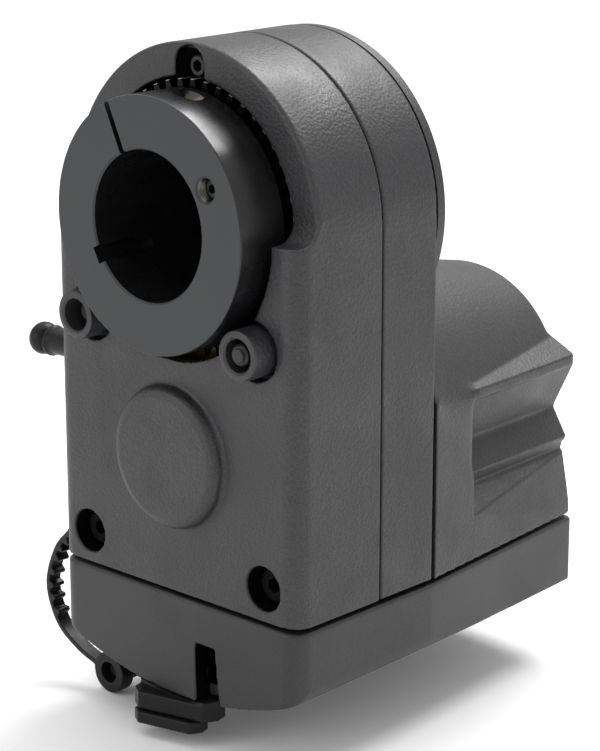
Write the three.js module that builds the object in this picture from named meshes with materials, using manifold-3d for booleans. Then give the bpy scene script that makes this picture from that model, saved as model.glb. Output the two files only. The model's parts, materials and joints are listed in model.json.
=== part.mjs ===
// Motorised focus drive for a telescope: a clamping collar turned by a geared motor inside a cast housing.
// Millimetres. X runs to the right, Y to the back and Z up. The origin is on the collar's axis, in the plane of
// the lower front plate.
import * as THREE from "three";
import { mergeVertices } from "three/addons/utils/BufferGeometryUtils.js";
import Module from "manifold-3d";

const wasm = await Module();
wasm.setup();

// ---------- driving dimensions ----------
const GAP = 0.3; // clearance between pieces that touch
const WALL = 2.5;

const HALF_WIDTH = 29.75;
const EDGE_R = 3.5; // upright front edges of the housing
const ARCH_Y = 5.3; // face of the arch, set back from the lower plate
const SHOULDER_Z = -0.5; // top of the lower plate's shoulders
const SEAM_FRONT_Y = 21;
const SEAM_BACK_Y = 35;
const HOUSING_END_Y = 81.5;
const SEAM_BASE_Z = -66.5;

const OPENING_R = 24;
const COLLAR_R = 22.14;
const COLLAR_FRONT_Y = -5.2;
const BORE_R = 13;
const BORE_END_Y = 27;
const HUB_R = 17;

const MODULE = 0.94;
const RING_TEETH = 48;
const PINION_TEETH = 40;
const GEAR_FRONT_Y = 6;
const GEAR_WIDTH = 5;
const MOTOR_Z = (-MODULE * (RING_TEETH + PINION_TEETH)) / 2;

const MOUNT_SCREW_R = 1.9;
const MOUNT_HEAD_R = 2.8;
const SLEEVE_X = 19.9;
const SLEEVE_Z = -18.9;
const SLEEVE_R = 4.35;
const SLEEVE_BORE_R = 2.9;
const SLEEVE_FRONT_Y = -4;
const TOP_SCREW_Z = 25.6;

const BOSS_R = 12.6;
const BOSS_RISE = 2.4;
const CASE_SCREW_X = 21.8;
const CASE_SCREW_Z = -60.2;
const COUNTERBORE_R = 4;
const CASE_SCREW_SEAT_Y = 6;

const DOME_FRONT_R = 29.8;
const DOME_BACK_R = 21.3;
const DOME_WIDEN = 1.03; // the round top is a little wider than it is high
const REAR_CORNER_R = 1.2; // upright rear corners of the motor housing and the base
const HOUSING_TAPER = 0.1; // inward run of each side wall per millimetre towards the back
const WEB_THICKNESS = 2.2; // webs in the middle housing's lower back corners
const WEB_LAP = 1.4; // how far each web reaches in behind the cover's rim
const FACET_START = [28.57, -58.1]; // X and Z of the leaning facet's corners under each scoop
const FACET_LOW = [25.2, -66.3];
const FACET_HIGH = [23.1, -55.5];
const SCOOP_BACK_X = 18; // the casting stays solid outside this, behind each scoop
const SCOOP_BACK_LOW_Z = -63;
const SCOOP_BACK_HIGH_Z = -34;
const SCOOP_FRONT_Y = 47.8;
const SCOOP_TAPER = 0.05; // inward run of each scoop per millimetre towards the back

const BASE_END_Y = 82;
const BASE_ARC_R = 74; // curve of the base's underside
const BASE_LOW_Z = -85.7;

const POST_Y = 6;
const POST_Z = -28.6;

// ---------- materials ----------
function finish(color, roughness, metalness) {
  return new THREE.MeshStandardMaterial({ color, roughness, metalness });
}
const CASTING = finish(0x3b3b3f, 0.6, 0.2);
const PLASTIC = finish(0x333335, 0.5, 0);
const COLLAR_BLACK = finish(0x2a2a2c, 0.4, 0.6);
const BLACK_STEEL = finish(0x1e1e20, 0.35, 0.8);
const STEEL = finish(0x9a9a9c, 0.35, 1);
const BRASS = finish(0x9a7f3e, 0.35, 1);
const BRONZE = finish(0x80603a, 0.5, 1);
const RUBBER = finish(0x161617, 0.7, 0);
const BOARD_GREEN = finish(0x1d4a2c, 0.5, 0);
const JACK_BLACK = finish(0x101012, 0.4, 0);

// ---------- solids: boxes, prisms and turned shapes, joined and cut ----------
function solid(geometry) {
  const bare = geometry.index ? geometry.toNonIndexed() : geometry.clone();
  bare.deleteAttribute("normal");
  bare.deleteAttribute("uv");
  const merged = mergeVertices(bare, 1e-4);
  return new wasm.Manifold(
    new wasm.Mesh({
      numProp: 3,
      vertProperties: merged.attributes.position.array,
      triVerts: new Uint32Array(merged.index.array),
    }),
  );
}

function geometryOf(manifold) {
  const mesh = manifold.getMesh();
  const geometry = new THREE.BufferGeometry();
  geometry.setAttribute("position", new THREE.BufferAttribute(Float32Array.from(mesh.vertProperties), 3));
  geometry.setIndex(Array.from(mesh.triVerts));
  const flat = geometry.toNonIndexed();
  flat.computeVertexNormals();
  return flat;
}

// A prism along Y whose outline is drawn in X and Z.
function prismY(shape, front, back, segments = 12) {
  const geometry = new THREE.ExtrudeGeometry(shape, {
    depth: back - front,
    bevelEnabled: false,
    curveSegments: segments,
  });
  geometry.rotateX(Math.PI / 2);
  geometry.translate(0, back, 0);
  return solid(geometry);
}

// A prism along Z whose outline is drawn in X and Y.
function prismZ(shape, low, high, segments = 6) {
  const geometry = new THREE.ExtrudeGeometry(shape, {
    depth: high - low,
    bevelEnabled: false,
    curveSegments: segments,
  });
  geometry.translate(0, 0, low);
  return solid(geometry);
}

function box(low, high) {
  const size = high.map((value, i) => value - low[i]);
  const geometry = new THREE.BoxGeometry(...size);
  geometry.translate(...high.map((value, i) => (value + low[i]) / 2));
  return solid(geometry);
}

// A solid turned about the Y axis from points of [radius, y], then moved to x, z.
function turned(points, x = 0, z = 0, segments = 32) {
  const profile = points.map(([radius, y]) => new THREE.Vector2(radius, y));
  const geometry = new THREE.LatheGeometry(profile, segments);
  geometry.translate(x, 0, z);
  return solid(geometry);
}

function cylinderY(radius, front, back, x = 0, z = 0, segments = 32) {
  return turned([[0, front], [radius, front], [radius, back], [0, back]], x, z, segments);
}

function ringY(inner, outer, front, back, x = 0, z = 0, segments = 32) {
  return turned(
    [[inner, front], [outer, front], [outer, back], [inner, back], [inner, front]],
    x,
    z,
    segments,
  );
}

// A solid turned about an axis along X from points of [radius, x].
function turnedX(points, y, z, segments = 20) {
  const profile = points.map(([radius, along]) => new THREE.Vector2(radius, along));
  const geometry = new THREE.LatheGeometry(profile, segments);
  geometry.rotateZ(-Math.PI / 2);
  geometry.translate(0, y, z);
  return solid(geometry);
}

function cylinderZ(radius, low, high, x, y, segments = 20) {
  const geometry = new THREE.CylinderGeometry(radius, radius, high - low, segments);
  geometry.rotateX(Math.PI / 2);
  geometry.translate(x, y, (low + high) / 2);
  return solid(geometry);
}

function join(parts) {
  return parts.reduce((whole, part) => whole.add(part));
}

function cut(body, tools) {
  return tools.reduce((whole, tool) => whole.subtract(tool), body);
}

function part(name, manifold, material) {
  const mesh = new THREE.Mesh(geometryOf(manifold), material);
  mesh.name = name;
  return mesh;
}

// ---------- outlines ----------
// Straight sides up to the collar's axis, then a half-round top about it.
function archShape(halfWidth, bottom) {
  const shape = new THREE.Shape();
  shape.moveTo(-halfWidth, bottom);
  shape.lineTo(halfWidth, bottom);
  shape.lineTo(halfWidth, 0);
  shape.absarc(0, 0, halfWidth, 0, Math.PI, false);
  shape.closePath();
  return shape;
}

// The plan of the housing's front: upright front edges rounded.
function frontPlan(halfWidth, front, back, radius) {
  const shape = new THREE.Shape();
  shape.moveTo(-halfWidth, back);
  shape.lineTo(-halfWidth, front + radius);
  shape.absarc(-halfWidth + radius, front + radius, radius, Math.PI, 1.5 * Math.PI, false);
  shape.lineTo(halfWidth - radius, front);
  shape.absarc(halfWidth - radius, front + radius, radius, 1.5 * Math.PI, 2 * Math.PI, false);
  shape.lineTo(halfWidth, back);
  shape.closePath();
  return shape;
}

// The U of the lower plate: open at the top, round at the bottom, about the collar's axis.
function openingShape(radius, top) {
  const shape = new THREE.Shape();
  shape.moveTo(radius, top);
  shape.lineTo(-radius, top);
  shape.lineTo(-radius, 0);
  shape.absarc(0, 0, radius, Math.PI, 2 * Math.PI, false);
  shape.closePath();
  return shape;
}

function sleevePlaces() {
  return [-SLEEVE_X, SLEEVE_X].map((x) => [x, SLEEVE_Z]);
}

// ---------- housings ----------
const ARCH_FACETS = 16;
const INNER_HALF = HALF_WIDTH - WALL;
const ARCH_BACK_Y = ARCH_Y + WALL;
const HOUSING_BOTTOM = SEAM_BASE_Z + 0.5;
const FILLET_R = 4;

function plateFillet() {
  // The concave rise from the shoulder of the lower plate to the arch face.
  const shape = new THREE.Shape();
  const low = SHOULDER_Z - 0.01;
  shape.moveTo(ARCH_Y + 0.5, low);
  shape.lineTo(ARCH_Y - FILLET_R, low);
  shape.lineTo(ARCH_Y - FILLET_R, SHOULDER_Z);
  shape.absarc(ARCH_Y - FILLET_R, SHOULDER_Z + FILLET_R, FILLET_R, 1.5 * Math.PI, 2 * Math.PI, false);
  shape.lineTo(ARCH_Y + 0.5, SHOULDER_Z + FILLET_R);
  shape.closePath();
  const geometry = new THREE.ExtrudeGeometry(shape, {
    depth: 2 * HALF_WIDTH,
    bevelEnabled: false,
    curveSegments: 5,
  });
  // The outline's x becomes Y, its y becomes Z and its depth becomes X.
  const turn = new THREE.Matrix4().makeBasis(
    new THREE.Vector3(0, 1, 0),
    new THREE.Vector3(0, 0, 1),
    new THREE.Vector3(1, 0, 0),
  );
  geometry.applyMatrix4(turn);
  geometry.translate(-HALF_WIDTH, 0, 0);
  return solid(geometry);
}

function frontHousing() {
  const back = SEAM_FRONT_Y - GAP / 2;
  const outline = prismY(archShape(HALF_WIDTH, HOUSING_BOTTOM), ARCH_Y, back, ARCH_FACETS);
  const plan = prismZ(frontPlan(HALF_WIDTH, 0, back, EDGE_R), HOUSING_BOTTOM, HALF_WIDTH + 1);
  const plateBlock = box([-HALF_WIDTH, 0, HOUSING_BOTTOM], [HALF_WIDTH, ARCH_Y + 1, SHOULDER_Z]);
  const lower = plateBlock.add(plateFillet()).intersect(plan);
  const boss = turned(
    [[0, -BOSS_RISE], [BOSS_R - 0.8, -BOSS_RISE], [BOSS_R, -BOSS_RISE + 0.8], [BOSS_R + 0.6, -0.6],
      [BOSS_R + 1.4, 0.1], [BOSS_R, 1], [0, 1]],
    0,
    MOTOR_Z,
    32,
  );
  const outer = outline.add(lower).add(boss);
  const upperHollow = prismY(archShape(INNER_HALF, HOUSING_BOTTOM - 1), ARCH_BACK_Y, back + 1, ARCH_FACETS);
  const lowerHollow = box([-INNER_HALF, WALL, HOUSING_BOTTOM - 1], [INNER_HALF, back + 1, SHOULDER_Z - WALL]);
  const posts = caseScrewPlaces().map(([x, z]) => cylinderY(5.4, 1, back - 2, x, z, 14));
  const innerWebs = sleevePlaces().map(([x, z]) => cylinderY(5.2, 1, 5.4, x, z, 16));
  const shell = outer.subtract(upperHollow.add(lowerHollow)).add(join(posts).intersect(plan)).add(join(innerWebs));
  const opening = prismY(openingShape(OPENING_R, 0), -1, ARCH_Y + 0.2, 14);
  const round = cylinderY(OPENING_R, -1, ARCH_BACK_Y + 1, 0, 0, 56);
  const sleeveHoles = sleevePlaces().map(([x, z]) => cylinderY(SLEEVE_R + GAP, -1, 6, x, z, 20));
  const notch = prismY(notchShape(), ARCH_Y - 1, ARCH_BACK_Y - 0.8, 8);
  const topHole = cylinderY(MOUNT_SCREW_R + 0.4, ARCH_Y, back + 1, 0, TOP_SCREW_Z, 20);
  const counterbores = caseScrewPlaces().flatMap(([x, z]) => [
    cylinderY(COUNTERBORE_R, -1, CASE_SCREW_SEAT_Y, x, z, 20),
    cylinderY(1.8, 0, back, x, z, 12),
  ]);
  const bearingSeat = cylinderY(BEARING_R + GAP, BEARING_FRONT_Y - GAP, WALL + 1, 0, MOTOR_Z, 32);
  return cut(shell, [opening, round, ...sleeveHoles, notch, topHole, ...counterbores, bearingSeat]);
}

function caseScrewPlaces() {
  return [-CASE_SCREW_X, CASE_SCREW_X].map((x) => [x, CASE_SCREW_Z]);
}

// The upright slot in the arch face that the upper mounting screw looks out of.
function notchShape() {
  const halfWidth = 3.5;
  const top = TOP_SCREW_Z + 0.2;
  const shape = new THREE.Shape();
  shape.moveTo(-halfWidth, OPENING_R - 3);
  shape.lineTo(halfWidth, OPENING_R - 3);
  shape.lineTo(halfWidth, top);
  shape.absarc(0, top, halfWidth, 0, Math.PI, false);
  shape.closePath();
  return shape;
}

// A web in each lower back corner closes the housing between the cover's disc and the motor's round top.
function backWebs(back) {
  const outer = HALF_WIDTH - WALL / 2;
  const web = box([-outer, back - WEB_THICKNESS, MOTOR_Z], [outer, back, 0]);
  const discWay = cylinderY(HALF_WIDTH - WEB_LAP, back - WALL * 2, back + 1, 0, 0, 64);
  const motorWay = domeCone(DOME_FRONT_R - WALL, DOME_FRONT_R - WALL, back - WALL * 2, back + 1, 48);
  const headWays = sleevePlaces().map(([x, z]) => cylinderY(MOUNT_HEAD_R + GAP, back - WALL * 2, back + 1, x, z, 20));
  return cut(web, [discWay, motorWay, ...headWays]);
}

function middleHousing() {
  const front = SEAM_FRONT_Y + GAP / 2;
  const back = SEAM_BACK_Y - GAP / 2;
  const outline = prismY(archShape(HALF_WIDTH, HOUSING_BOTTOM), front, back, ARCH_FACETS);
  const hollow = prismY(archShape(INNER_HALF, HOUSING_BOTTOM - 1), front + 3, back + 1, ARCH_FACETS);
  const holes = [
    cylinderY(BUSHING_R + GAP, front - 1, back, 0, 0, 40),
    cylinderY(GEARBOX_NOSE_R + GAP, front - 1, back, 0, MOTOR_Z, 24),
    cylinderY(MOUNT_SCREW_R + 0.4, front - 1, back, 0, TOP_SCREW_Z, 16),
    cylinderY(MOUNT_HEAD_R + GAP, front + 3, back + 1, 0, TOP_SCREW_Z, 20),
    ...sleevePlaces().map(([x, z]) => cylinderY(MOUNT_SCREW_R + 0.4, front - 1, back, x, z, 16)),
    ...caseScrewPlaces().map(([x, z]) => cylinderY(1.8, front - 1, back, x, z, 16)),
  ];
  return cut(outline, [hollow, ...holes]).add(backWebs(back));
}

// Half the width of the motor housing's walls at a distance back.
function sideAt(y) {
  return HALF_WIDTH + 0.1 - HOUSING_TAPER * (y - SEAM_BACK_Y);
}

function taperedPlan(inset, front, back, cornerR) {
  const wide = sideAt(front) - inset;
  const narrow = sideAt(back) - inset;
  const shape = new THREE.Shape();
  shape.moveTo(-wide, front);
  shape.lineTo(wide, front);
  shape.lineTo(narrow, back - cornerR);
  shape.absarc(narrow - cornerR, back - cornerR, cornerR, 0, 0.5 * Math.PI, false);
  shape.lineTo(cornerR - narrow, back);
  shape.absarc(cornerR - narrow, back - cornerR, cornerR, 0.5 * Math.PI, Math.PI, false);
  shape.closePath();
  return shape;
}

// The section of the motor housing's shoulders, which slope down from the round top to a ridge on each side.
function shoulderShape(inset) {
  const slope = Math.tan((25.7 * Math.PI) / 180);
  const crestX = 15;
  const crestZ = -31.9 + slope * (19.64 - crestX) - inset;
  const wide = 34;
  const edgeZ = crestZ - slope * (wide - crestX);
  const shape = new THREE.Shape();
  shape.moveTo(-wide, HOUSING_BOTTOM - 5);
  shape.lineTo(wide, HOUSING_BOTTOM - 5);
  shape.lineTo(wide, edgeZ);
  shape.lineTo(crestX, crestZ);
  shape.lineTo(-crestX, crestZ);
  shape.lineTo(-wide, edgeZ);
  shape.closePath();
  return shape;
}

const SHOULDER_TILT = (4.1 * Math.PI) / 180;

function shoulderPrism(inset) {
  const geometry = new THREE.ExtrudeGeometry(shoulderShape(inset), { depth: 80, bevelEnabled: false });
  geometry.rotateX(Math.PI / 2);
  geometry.translate(0, 20, 0);
  geometry.translate(0, 0, -MOTOR_Z);
  geometry.rotateX(-SHOULDER_TILT);
  geometry.translate(0, 79, MOTOR_Z);
  return solid(geometry);
}

function domeCone(frontR, backR, front, back, segments) {
  const geometry = new THREE.CylinderGeometry(backR, frontR, back - front, segments);
  geometry.scale(DOME_WIDEN, 1, 1);
  geometry.translate(0, (front + back) / 2, MOTOR_Z - 0.6);
  return solid(geometry);
}

// The finger scoop in one side wall, which follows the wall part of the way in towards the back.
function scoop(side) {
  const points = [[34, -35.2], [28.5, -35.4], [26.3, -36.9], [22.4, -45.4], [22.5, -46.6], [23.3, -51.4],
    [23.8, -53.8], [28.4, -57.6], [34, -61.6]];
  const shape = new THREE.Shape();
  const ordered = side > 0 ? points : points.map(([x, z]) => [-x, z]);
  ordered.forEach(([x, z], i) => (i === 0 ? shape.moveTo(x, z) : shape.lineTo(x, z)));
  shape.closePath();
  const length = HOUSING_END_Y + 5 - SCOOP_FRONT_Y;
  const geometry = new THREE.ExtrudeGeometry(shape, { depth: length, bevelEnabled: false });
  geometry.rotateX(Math.PI / 2);
  geometry.translate(0, length, 0);
  geometry.applyMatrix4(new THREE.Matrix4().makeShear(0, 0, -side * SCOOP_TAPER, 0, 0, 0));
  geometry.translate(0, SCOOP_FRONT_Y, 0);
  return solid(geometry);
}

// What the leaning facet under each scoop takes off: it starts at the scoop's lower front corner and widens
// towards the back.
function facet(side) {
  const start = new THREE.Vector3(side * FACET_START[0], SCOOP_FRONT_Y, FACET_START[1]);
  const low = new THREE.Vector3(side * FACET_LOW[0], HOUSING_END_Y, FACET_LOW[1]);
  const high = new THREE.Vector3(side * FACET_HIGH[0], HOUSING_END_Y, FACET_HIGH[1]);
  const out = low.sub(start).cross(high.sub(start)).normalize().multiplyScalar(side);
  const geometry = new THREE.BoxGeometry(20, 100, 60);
  geometry.translate(10, 0, 0);
  geometry.applyQuaternion(new THREE.Quaternion().setFromUnitVectors(new THREE.Vector3(1, 0, 0), out));
  geometry.translate(start.x, start.y, start.z);
  return solid(geometry).intersect(box([-50, SCOOP_FRONT_Y, -75], [50, HOUSING_END_Y + 5, -52]));
}

function motorHousing() {
  const front = SEAM_BACK_Y + 0.7;
  const back = HOUSING_END_Y;
  const plan = taperedPlan(0, front, back, REAR_CORNER_R);
  const block = prismZ(plan, HOUSING_BOTTOM, -25).intersect(shoulderPrism(0));
  const dome = domeCone(DOME_FRONT_R, DOME_BACK_R, front, back, 60).intersect(prismZ(plan, HOUSING_BOTTOM, 0));
  const outer = cut(block.add(dome), [scoop(1), scoop(-1), facet(1), facet(-1)]);
  const innerBlock = prismZ(taperedPlan(WALL, front - 5, back - WALL, 1), HOUSING_BOTTOM - 3, -25);
  const innerDome = domeCone(DOME_FRONT_R - WALL + 0.5, DOME_BACK_R - WALL, front - 5, back - WALL, 48);
  const scoopBacks = [
    [-HALF_WIDTH * 2, -SCOOP_BACK_X],
    [SCOOP_BACK_X, HALF_WIDTH * 2],
  ].map(([left, right]) => box([left, SCOOP_FRONT_Y - WALL, SCOOP_BACK_LOW_Z], [right, back, SCOOP_BACK_HIGH_Z]));
  const hollow = cut(innerBlock.intersect(shoulderPrism(WALL)).add(innerDome), scoopBacks);
  const discRoom = cylinderY(HALF_WIDTH + 0.4, front - 2, COVER_BACK_Y + GAP, 0, 0, 64);
  return cut(outer, [hollow, discRoom.intersect(box([-40, 0, -20], [40, 50, 40]))]);
}

const COVER_BACK_Y = 37.4;

function backCover() {
  const disc = turned(
    [[0, SEAM_BACK_Y + GAP / 2], [HALF_WIDTH - 0.1, SEAM_BACK_Y + GAP / 2], [HALF_WIDTH - 0.1, COVER_BACK_Y - 0.5],
      [HALF_WIDTH - 0.6, COVER_BACK_Y], [0, COVER_BACK_Y]],
    0,
    0,
    64,
  );
  const domeRoom = domeCone(DOME_FRONT_R + GAP + 0.3, DOME_BACK_R + GAP, SEAM_BACK_Y - 1, HOUSING_END_Y, 60);
  return cut(disc, [domeRoom, box([-40, 0, -60], [40, 50, -20 + GAP])]);
}

// ---------- base ----------
function baseSection(inset) {
  // Across the base: a shallow arc below, with rounded lower corners.
  const half = HALF_WIDTH - inset;
  const low = BASE_LOW_Z + inset;
  const cornerX = half - 3;
  const arcR = BASE_ARC_R - inset;
  const centreZ = low + arcR;
  const cornerZ = centreZ - Math.sqrt(arcR ** 2 - cornerX ** 2);
  const angle = Math.asin(cornerX / arcR);
  const shape = new THREE.Shape();
  shape.moveTo(-half, SEAM_BASE_Z + 5);
  shape.lineTo(-half, cornerZ + 3.4);
  shape.quadraticCurveTo(-half, cornerZ + 0.4, -cornerX, cornerZ);
  shape.absarc(0, centreZ, arcR, 1.5 * Math.PI - angle, 1.5 * Math.PI + angle, false);
  shape.quadraticCurveTo(half, cornerZ + 0.4, half, cornerZ + 3.4);
  shape.lineTo(half, SEAM_BASE_Z + 5);
  shape.closePath();
  return shape;
}

function basePlan(inset, cornerR) {
  const half = HALF_WIDTH - inset;
  const back = BASE_END_Y - inset;
  const narrow = sideAt(BASE_END_Y) + 0.1 - inset;
  const shape = new THREE.Shape();
  shape.moveTo(-half, SEAM_BACK_Y);
  shape.lineTo(-half, inset + EDGE_R);
  shape.absarc(-half + EDGE_R, inset + EDGE_R, EDGE_R, Math.PI, 1.5 * Math.PI, false);
  shape.lineTo(half - EDGE_R, inset);
  shape.absarc(half - EDGE_R, inset + EDGE_R, EDGE_R, 1.5 * Math.PI, 2 * Math.PI, false);
  shape.lineTo(half, SEAM_BACK_Y);
  shape.lineTo(narrow, back - cornerR);
  shape.absarc(narrow - cornerR, back - cornerR, cornerR, 0, 0.5 * Math.PI, false);
  shape.lineTo(cornerR - narrow, back);
  shape.absarc(cornerR - narrow, back - cornerR, cornerR, 0.5 * Math.PI, Math.PI, false);
  shape.closePath();
  return shape;
}

const SLOT_LEFT = 5;
const SLOT_RIGHT = 10.2;
const SLOT_TOP = -74.6;

const BASE_RISE = 1.7; // the underside climbs this far from front to back

// The base's filled-in outer form, drawn in by an inset. Its section runs along Y, tipped up towards the back.
function baseVolume(inset) {
  const section = new THREE.ExtrudeGeometry(baseSection(inset), {
    depth: 100,
    bevelEnabled: false,
    curveSegments: 8,
  });
  section.rotateX(Math.PI / 2);
  section.translate(0, 95, 0);
  section.rotateX(Math.atan(BASE_RISE / BASE_END_Y));
  return prismZ(basePlan(inset, inset ? 1 : REAR_CORNER_R), -100, SEAM_BASE_Z + 1).intersect(solid(section));
}

function baseShell() {
  const aboveSeam = box([-40, -10, SEAM_BASE_Z - 0.35], [40, 100, 0]);
  const outer = baseVolume(0).subtract(aboveSeam);
  const inner = baseVolume(WALL);
  const slot = box([SLOT_LEFT, -1, -100], [SLOT_RIGHT, WALL + 1, SLOT_TOP]);
  const jacks = jackPlaces().map(({ y, z, halfWidth, halfHeight }) =>
    box([-HALF_WIDTH - 5, y - halfWidth - GAP, z - halfHeight - GAP], [-HALF_WIDTH + 16, y + halfWidth + GAP,
      z + halfHeight + GAP]),
  );
  const screws = baseScrewPlaces().flatMap(([x, y]) => [
    cylinderZ(1.7, -100, -60, x, y, 14),
    cylinderZ(3.1, -100, baseSeatZ(x, y), x, y, 20),
  ]);
  const neckHole = box(
    [-NECK_HALF - GAP, NECK_Y - NECK_HALF - GAP, -99],
    [NECK_HALF + GAP, NECK_Y + NECK_HALF + GAP, NECK_TOP_Z],
  );
  return cut(outer, [inner, slot, neckHole, ...jacks, ...screws]);
}

function baseScrewPlaces() {
  return [[-15, 70], [15, 70]];
}

function jackPlaces() {
  return [
    { name: "handset_jack", y: 48, z: -73.5, halfWidth: 5, halfHeight: 3.6, openWidth: 4, openHeight: 2.7 },
    { name: "usb_jack", y: 62, z: -73.5, halfWidth: 4.4, halfHeight: 3, openWidth: 3.5, openHeight: 2.3 },
  ];
}

function jack(place) {
  const outside = -sideAt(place.y) + 0.4;
  const outer = box(
    [outside, place.y - place.halfWidth, place.z - place.halfHeight],
    [outside + 12, place.y + place.halfWidth, place.z + place.halfHeight],
  );
  const mouth = box(
    [outside - 1, place.y - place.openWidth, place.z - place.openHeight],
    [outside + 9, place.y + place.openWidth, place.z + place.openHeight],
  );
  return outer.subtract(mouth);
}

// ---------- collar and gears ----------
function driveCollar() {
  const body = turned(
    [
      [BORE_R, COLLAR_FRONT_Y],
      [COLLAR_R - 0.4, COLLAR_FRONT_Y],
      [COLLAR_R, COLLAR_FRONT_Y + 0.4],
      [COLLAR_R, GEAR_FRONT_Y - GAP],
      [RING_SEAT_R, GEAR_FRONT_Y - GAP],
      [RING_SEAT_R, GEAR_FRONT_Y + GEAR_WIDTH],
      [HUB_R, GEAR_FRONT_Y + GEAR_WIDTH],
      [HUB_R, BORE_END_Y],
      [BORE_R, BORE_END_Y],
      [BORE_R, COLLAR_FRONT_Y],
    ],
    0,
    0,
    48,
  );
  const slit = box([-0.55, COLLAR_FRONT_Y - 1, 8], [0.55, 3.4, COLLAR_R + 2]).rotate([0, -SLIT_LEAN, 0]);
  const keyway = box([-1.5, COLLAR_FRONT_Y - 1, 10], [1.5, GEAR_FRONT_Y + 4, BORE_R + 1.3]).rotate([0, KEYWAY_TURN, 0]);
  const faceHole = cylinderY(FACE_HOLE_R, COLLAR_FRONT_Y - 1, 2, ...atRadius(16.3, 30), 20);
  return cut(body, [slit, keyway, faceHole, clampPocket()]);
}

const RING_SEAT_R = 18.6;
const SLIT_LEAN = 25; // degrees to the left of straight up
const KEYWAY_TURN = -119; // degrees from straight up, by the left
const FACE_HOLE_R = 1.9;
const CLAMP_Y = 1.5;
const CLAMP_HALF = 1.75;

function atRadius(radius, degrees) {
  const angle = (degrees * Math.PI) / 180;
  return [radius * Math.cos(angle), radius * Math.sin(angle)];
}

// A blind pocket for the clamp screw, square to the slit and let into the collar's outside.
function clampPocket() {
  const pocket = new THREE.CylinderGeometry(CLAMP_HALF + GAP, CLAMP_HALF + GAP, 16, 20);
  pocket.rotateZ(Math.PI / 2);
  pocket.translate(8 + CLAMP_START, CLAMP_Y, CLAMP_LINE);
  return solid(pocket).rotate([0, -SLIT_LEAN, 0]);
}

const CLAMP_START = 2.4; // from the slit's middle plane to the pocket's floor
const CLAMP_LINE = 18.4; // from the collar's axis to the clamp screw's axis

function clampScrew() {
  const screw = new THREE.CylinderGeometry(CLAMP_HALF, CLAMP_HALF, 7, 20);
  screw.rotateZ(Math.PI / 2);
  screw.translate(CLAMP_START + GAP + 3.5, CLAMP_Y, CLAMP_LINE);
  const socket = new THREE.CylinderGeometry(0.95, 0.95, 2.4, 6);
  socket.rotateZ(Math.PI / 2);
  socket.translate(CLAMP_START + GAP + 7, CLAMP_Y, CLAMP_LINE);
  return solid(screw).subtract(solid(socket)).rotate([0, -SLIT_LEAN, 0]);
}

function faceSetScrew() {
  const [x, z] = atRadius(16.3, 30);
  const screw = cylinderY(FACE_HOLE_R - GAP, -3.6, 1.6, x, z, 16);
  return screw.subtract(cylinderY(0.8, -4, -1.6, x, z, 6));
}

// A spur gear's outline with straight-sided teeth. phase is the angle of the first tooth.
function gearShape(teeth, holeR, phase) {
  const pitchR = (MODULE * teeth) / 2;
  const rootR = pitchR - 1.2 * MODULE;
  const tipR = pitchR + MODULE;
  const step = (2 * Math.PI) / teeth;
  const shape = new THREE.Shape();
  for (let i = 0; i < teeth; i += 1) {
    const middle = phase + i * step;
    const corners = [[rootR, -0.33], [tipR, -0.13], [tipR, 0.13], [rootR, 0.33]];
    corners.forEach(([radius, offset], k) => {
      const angle = middle + offset * step;
      const method = i === 0 && k === 0 ? "moveTo" : "lineTo";
      shape[method](radius * Math.cos(angle), radius * Math.sin(angle));
    });
  }
  shape.closePath();
  const hole = new THREE.Path();
  hole.absarc(0, 0, holeR, 0, 2 * Math.PI, true);
  shape.holes.push(hole);
  return shape;
}

function ringGear() {
  return prismY(gearShape(RING_TEETH, RING_SEAT_R + GAP, -0.5 * Math.PI), GEAR_FRONT_Y, GEAR_FRONT_Y + GEAR_WIDTH, 24);
}

function pinionGear() {
  const step = (2 * Math.PI) / PINION_TEETH;
  const gear = prismY(
    gearShape(PINION_TEETH, SHAFT_R + GAP, 0.5 * Math.PI + step / 2),
    GEAR_FRONT_Y,
    GEAR_FRONT_Y + GEAR_WIDTH,
    12,
  );
  const hub = ringY(SHAFT_R + GAP, 6, GEAR_FRONT_Y + GEAR_WIDTH - 0.1, 16, 0, 0, 24);
  const screwHole = cylinderZ(1.6, 3, 10, 0, 13.5, 14);
  return gear.add(hub).subtract(screwHole).translate([0, 0, MOTOR_Z]);
}

const SHAFT_R = 3;

function pinionShaft() {
  return turned(
    [[0, SHAFT_FRONT_Y], [SHAFT_R - 0.3, SHAFT_FRONT_Y], [SHAFT_R, SHAFT_FRONT_Y + 0.3], [SHAFT_R, SHAFT_BACK_Y],
      [0, SHAFT_BACK_Y]],
    0,
    MOTOR_Z,
    24,
  );
}

const SHAFT_FRONT_Y = 0.4;
const SHAFT_BACK_Y = 30;

function pinionScrew() {
  return cylinderZ(1.3, SHAFT_R + GAP, 5.6, 0, 13.5, 12)
    .subtract(cylinderZ(0.65, 4.2, 7, 0, 13.5, 6))
    .translate([0, 0, MOTOR_Z]);
}

// ---------- bearings ----------
const BEARING_R = 8;
const BEARING_FRONT_Y = 0.6;
const BUSHING_R = 20.4;

function shaftBearing() {
  return ringY(SHAFT_R + GAP, BEARING_R, BEARING_FRONT_Y, BEARING_FRONT_Y + 4.4, 0, MOTOR_Z, 32);
}

function collarBushing() {
  return turned(
    [[HUB_R + GAP, 15], [22.5, 15], [22.5, SEAM_FRONT_Y + GAP / 2 - GAP], [BUSHING_R, SEAM_FRONT_Y + GAP / 2 - GAP],
      [BUSHING_R, 24.5], [HUB_R + GAP, 24.5], [HUB_R + GAP, 15]],
    0,
    0,
    36,
  );
}

function thrustWasher() {
  return ringY(HUB_R + GAP, 20.5, GEAR_FRONT_Y + GEAR_WIDTH + GAP, 14.6, 0, 0, 28);
}

function retainingRing() {
  const ring = ringY(HUB_R - 0.8, 19.6, 24.9, 26.1, 0, 0, 28);
  return ring.subtract(box([-1.6, 20, 10], [1.6, 30, 25]));
}

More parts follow.
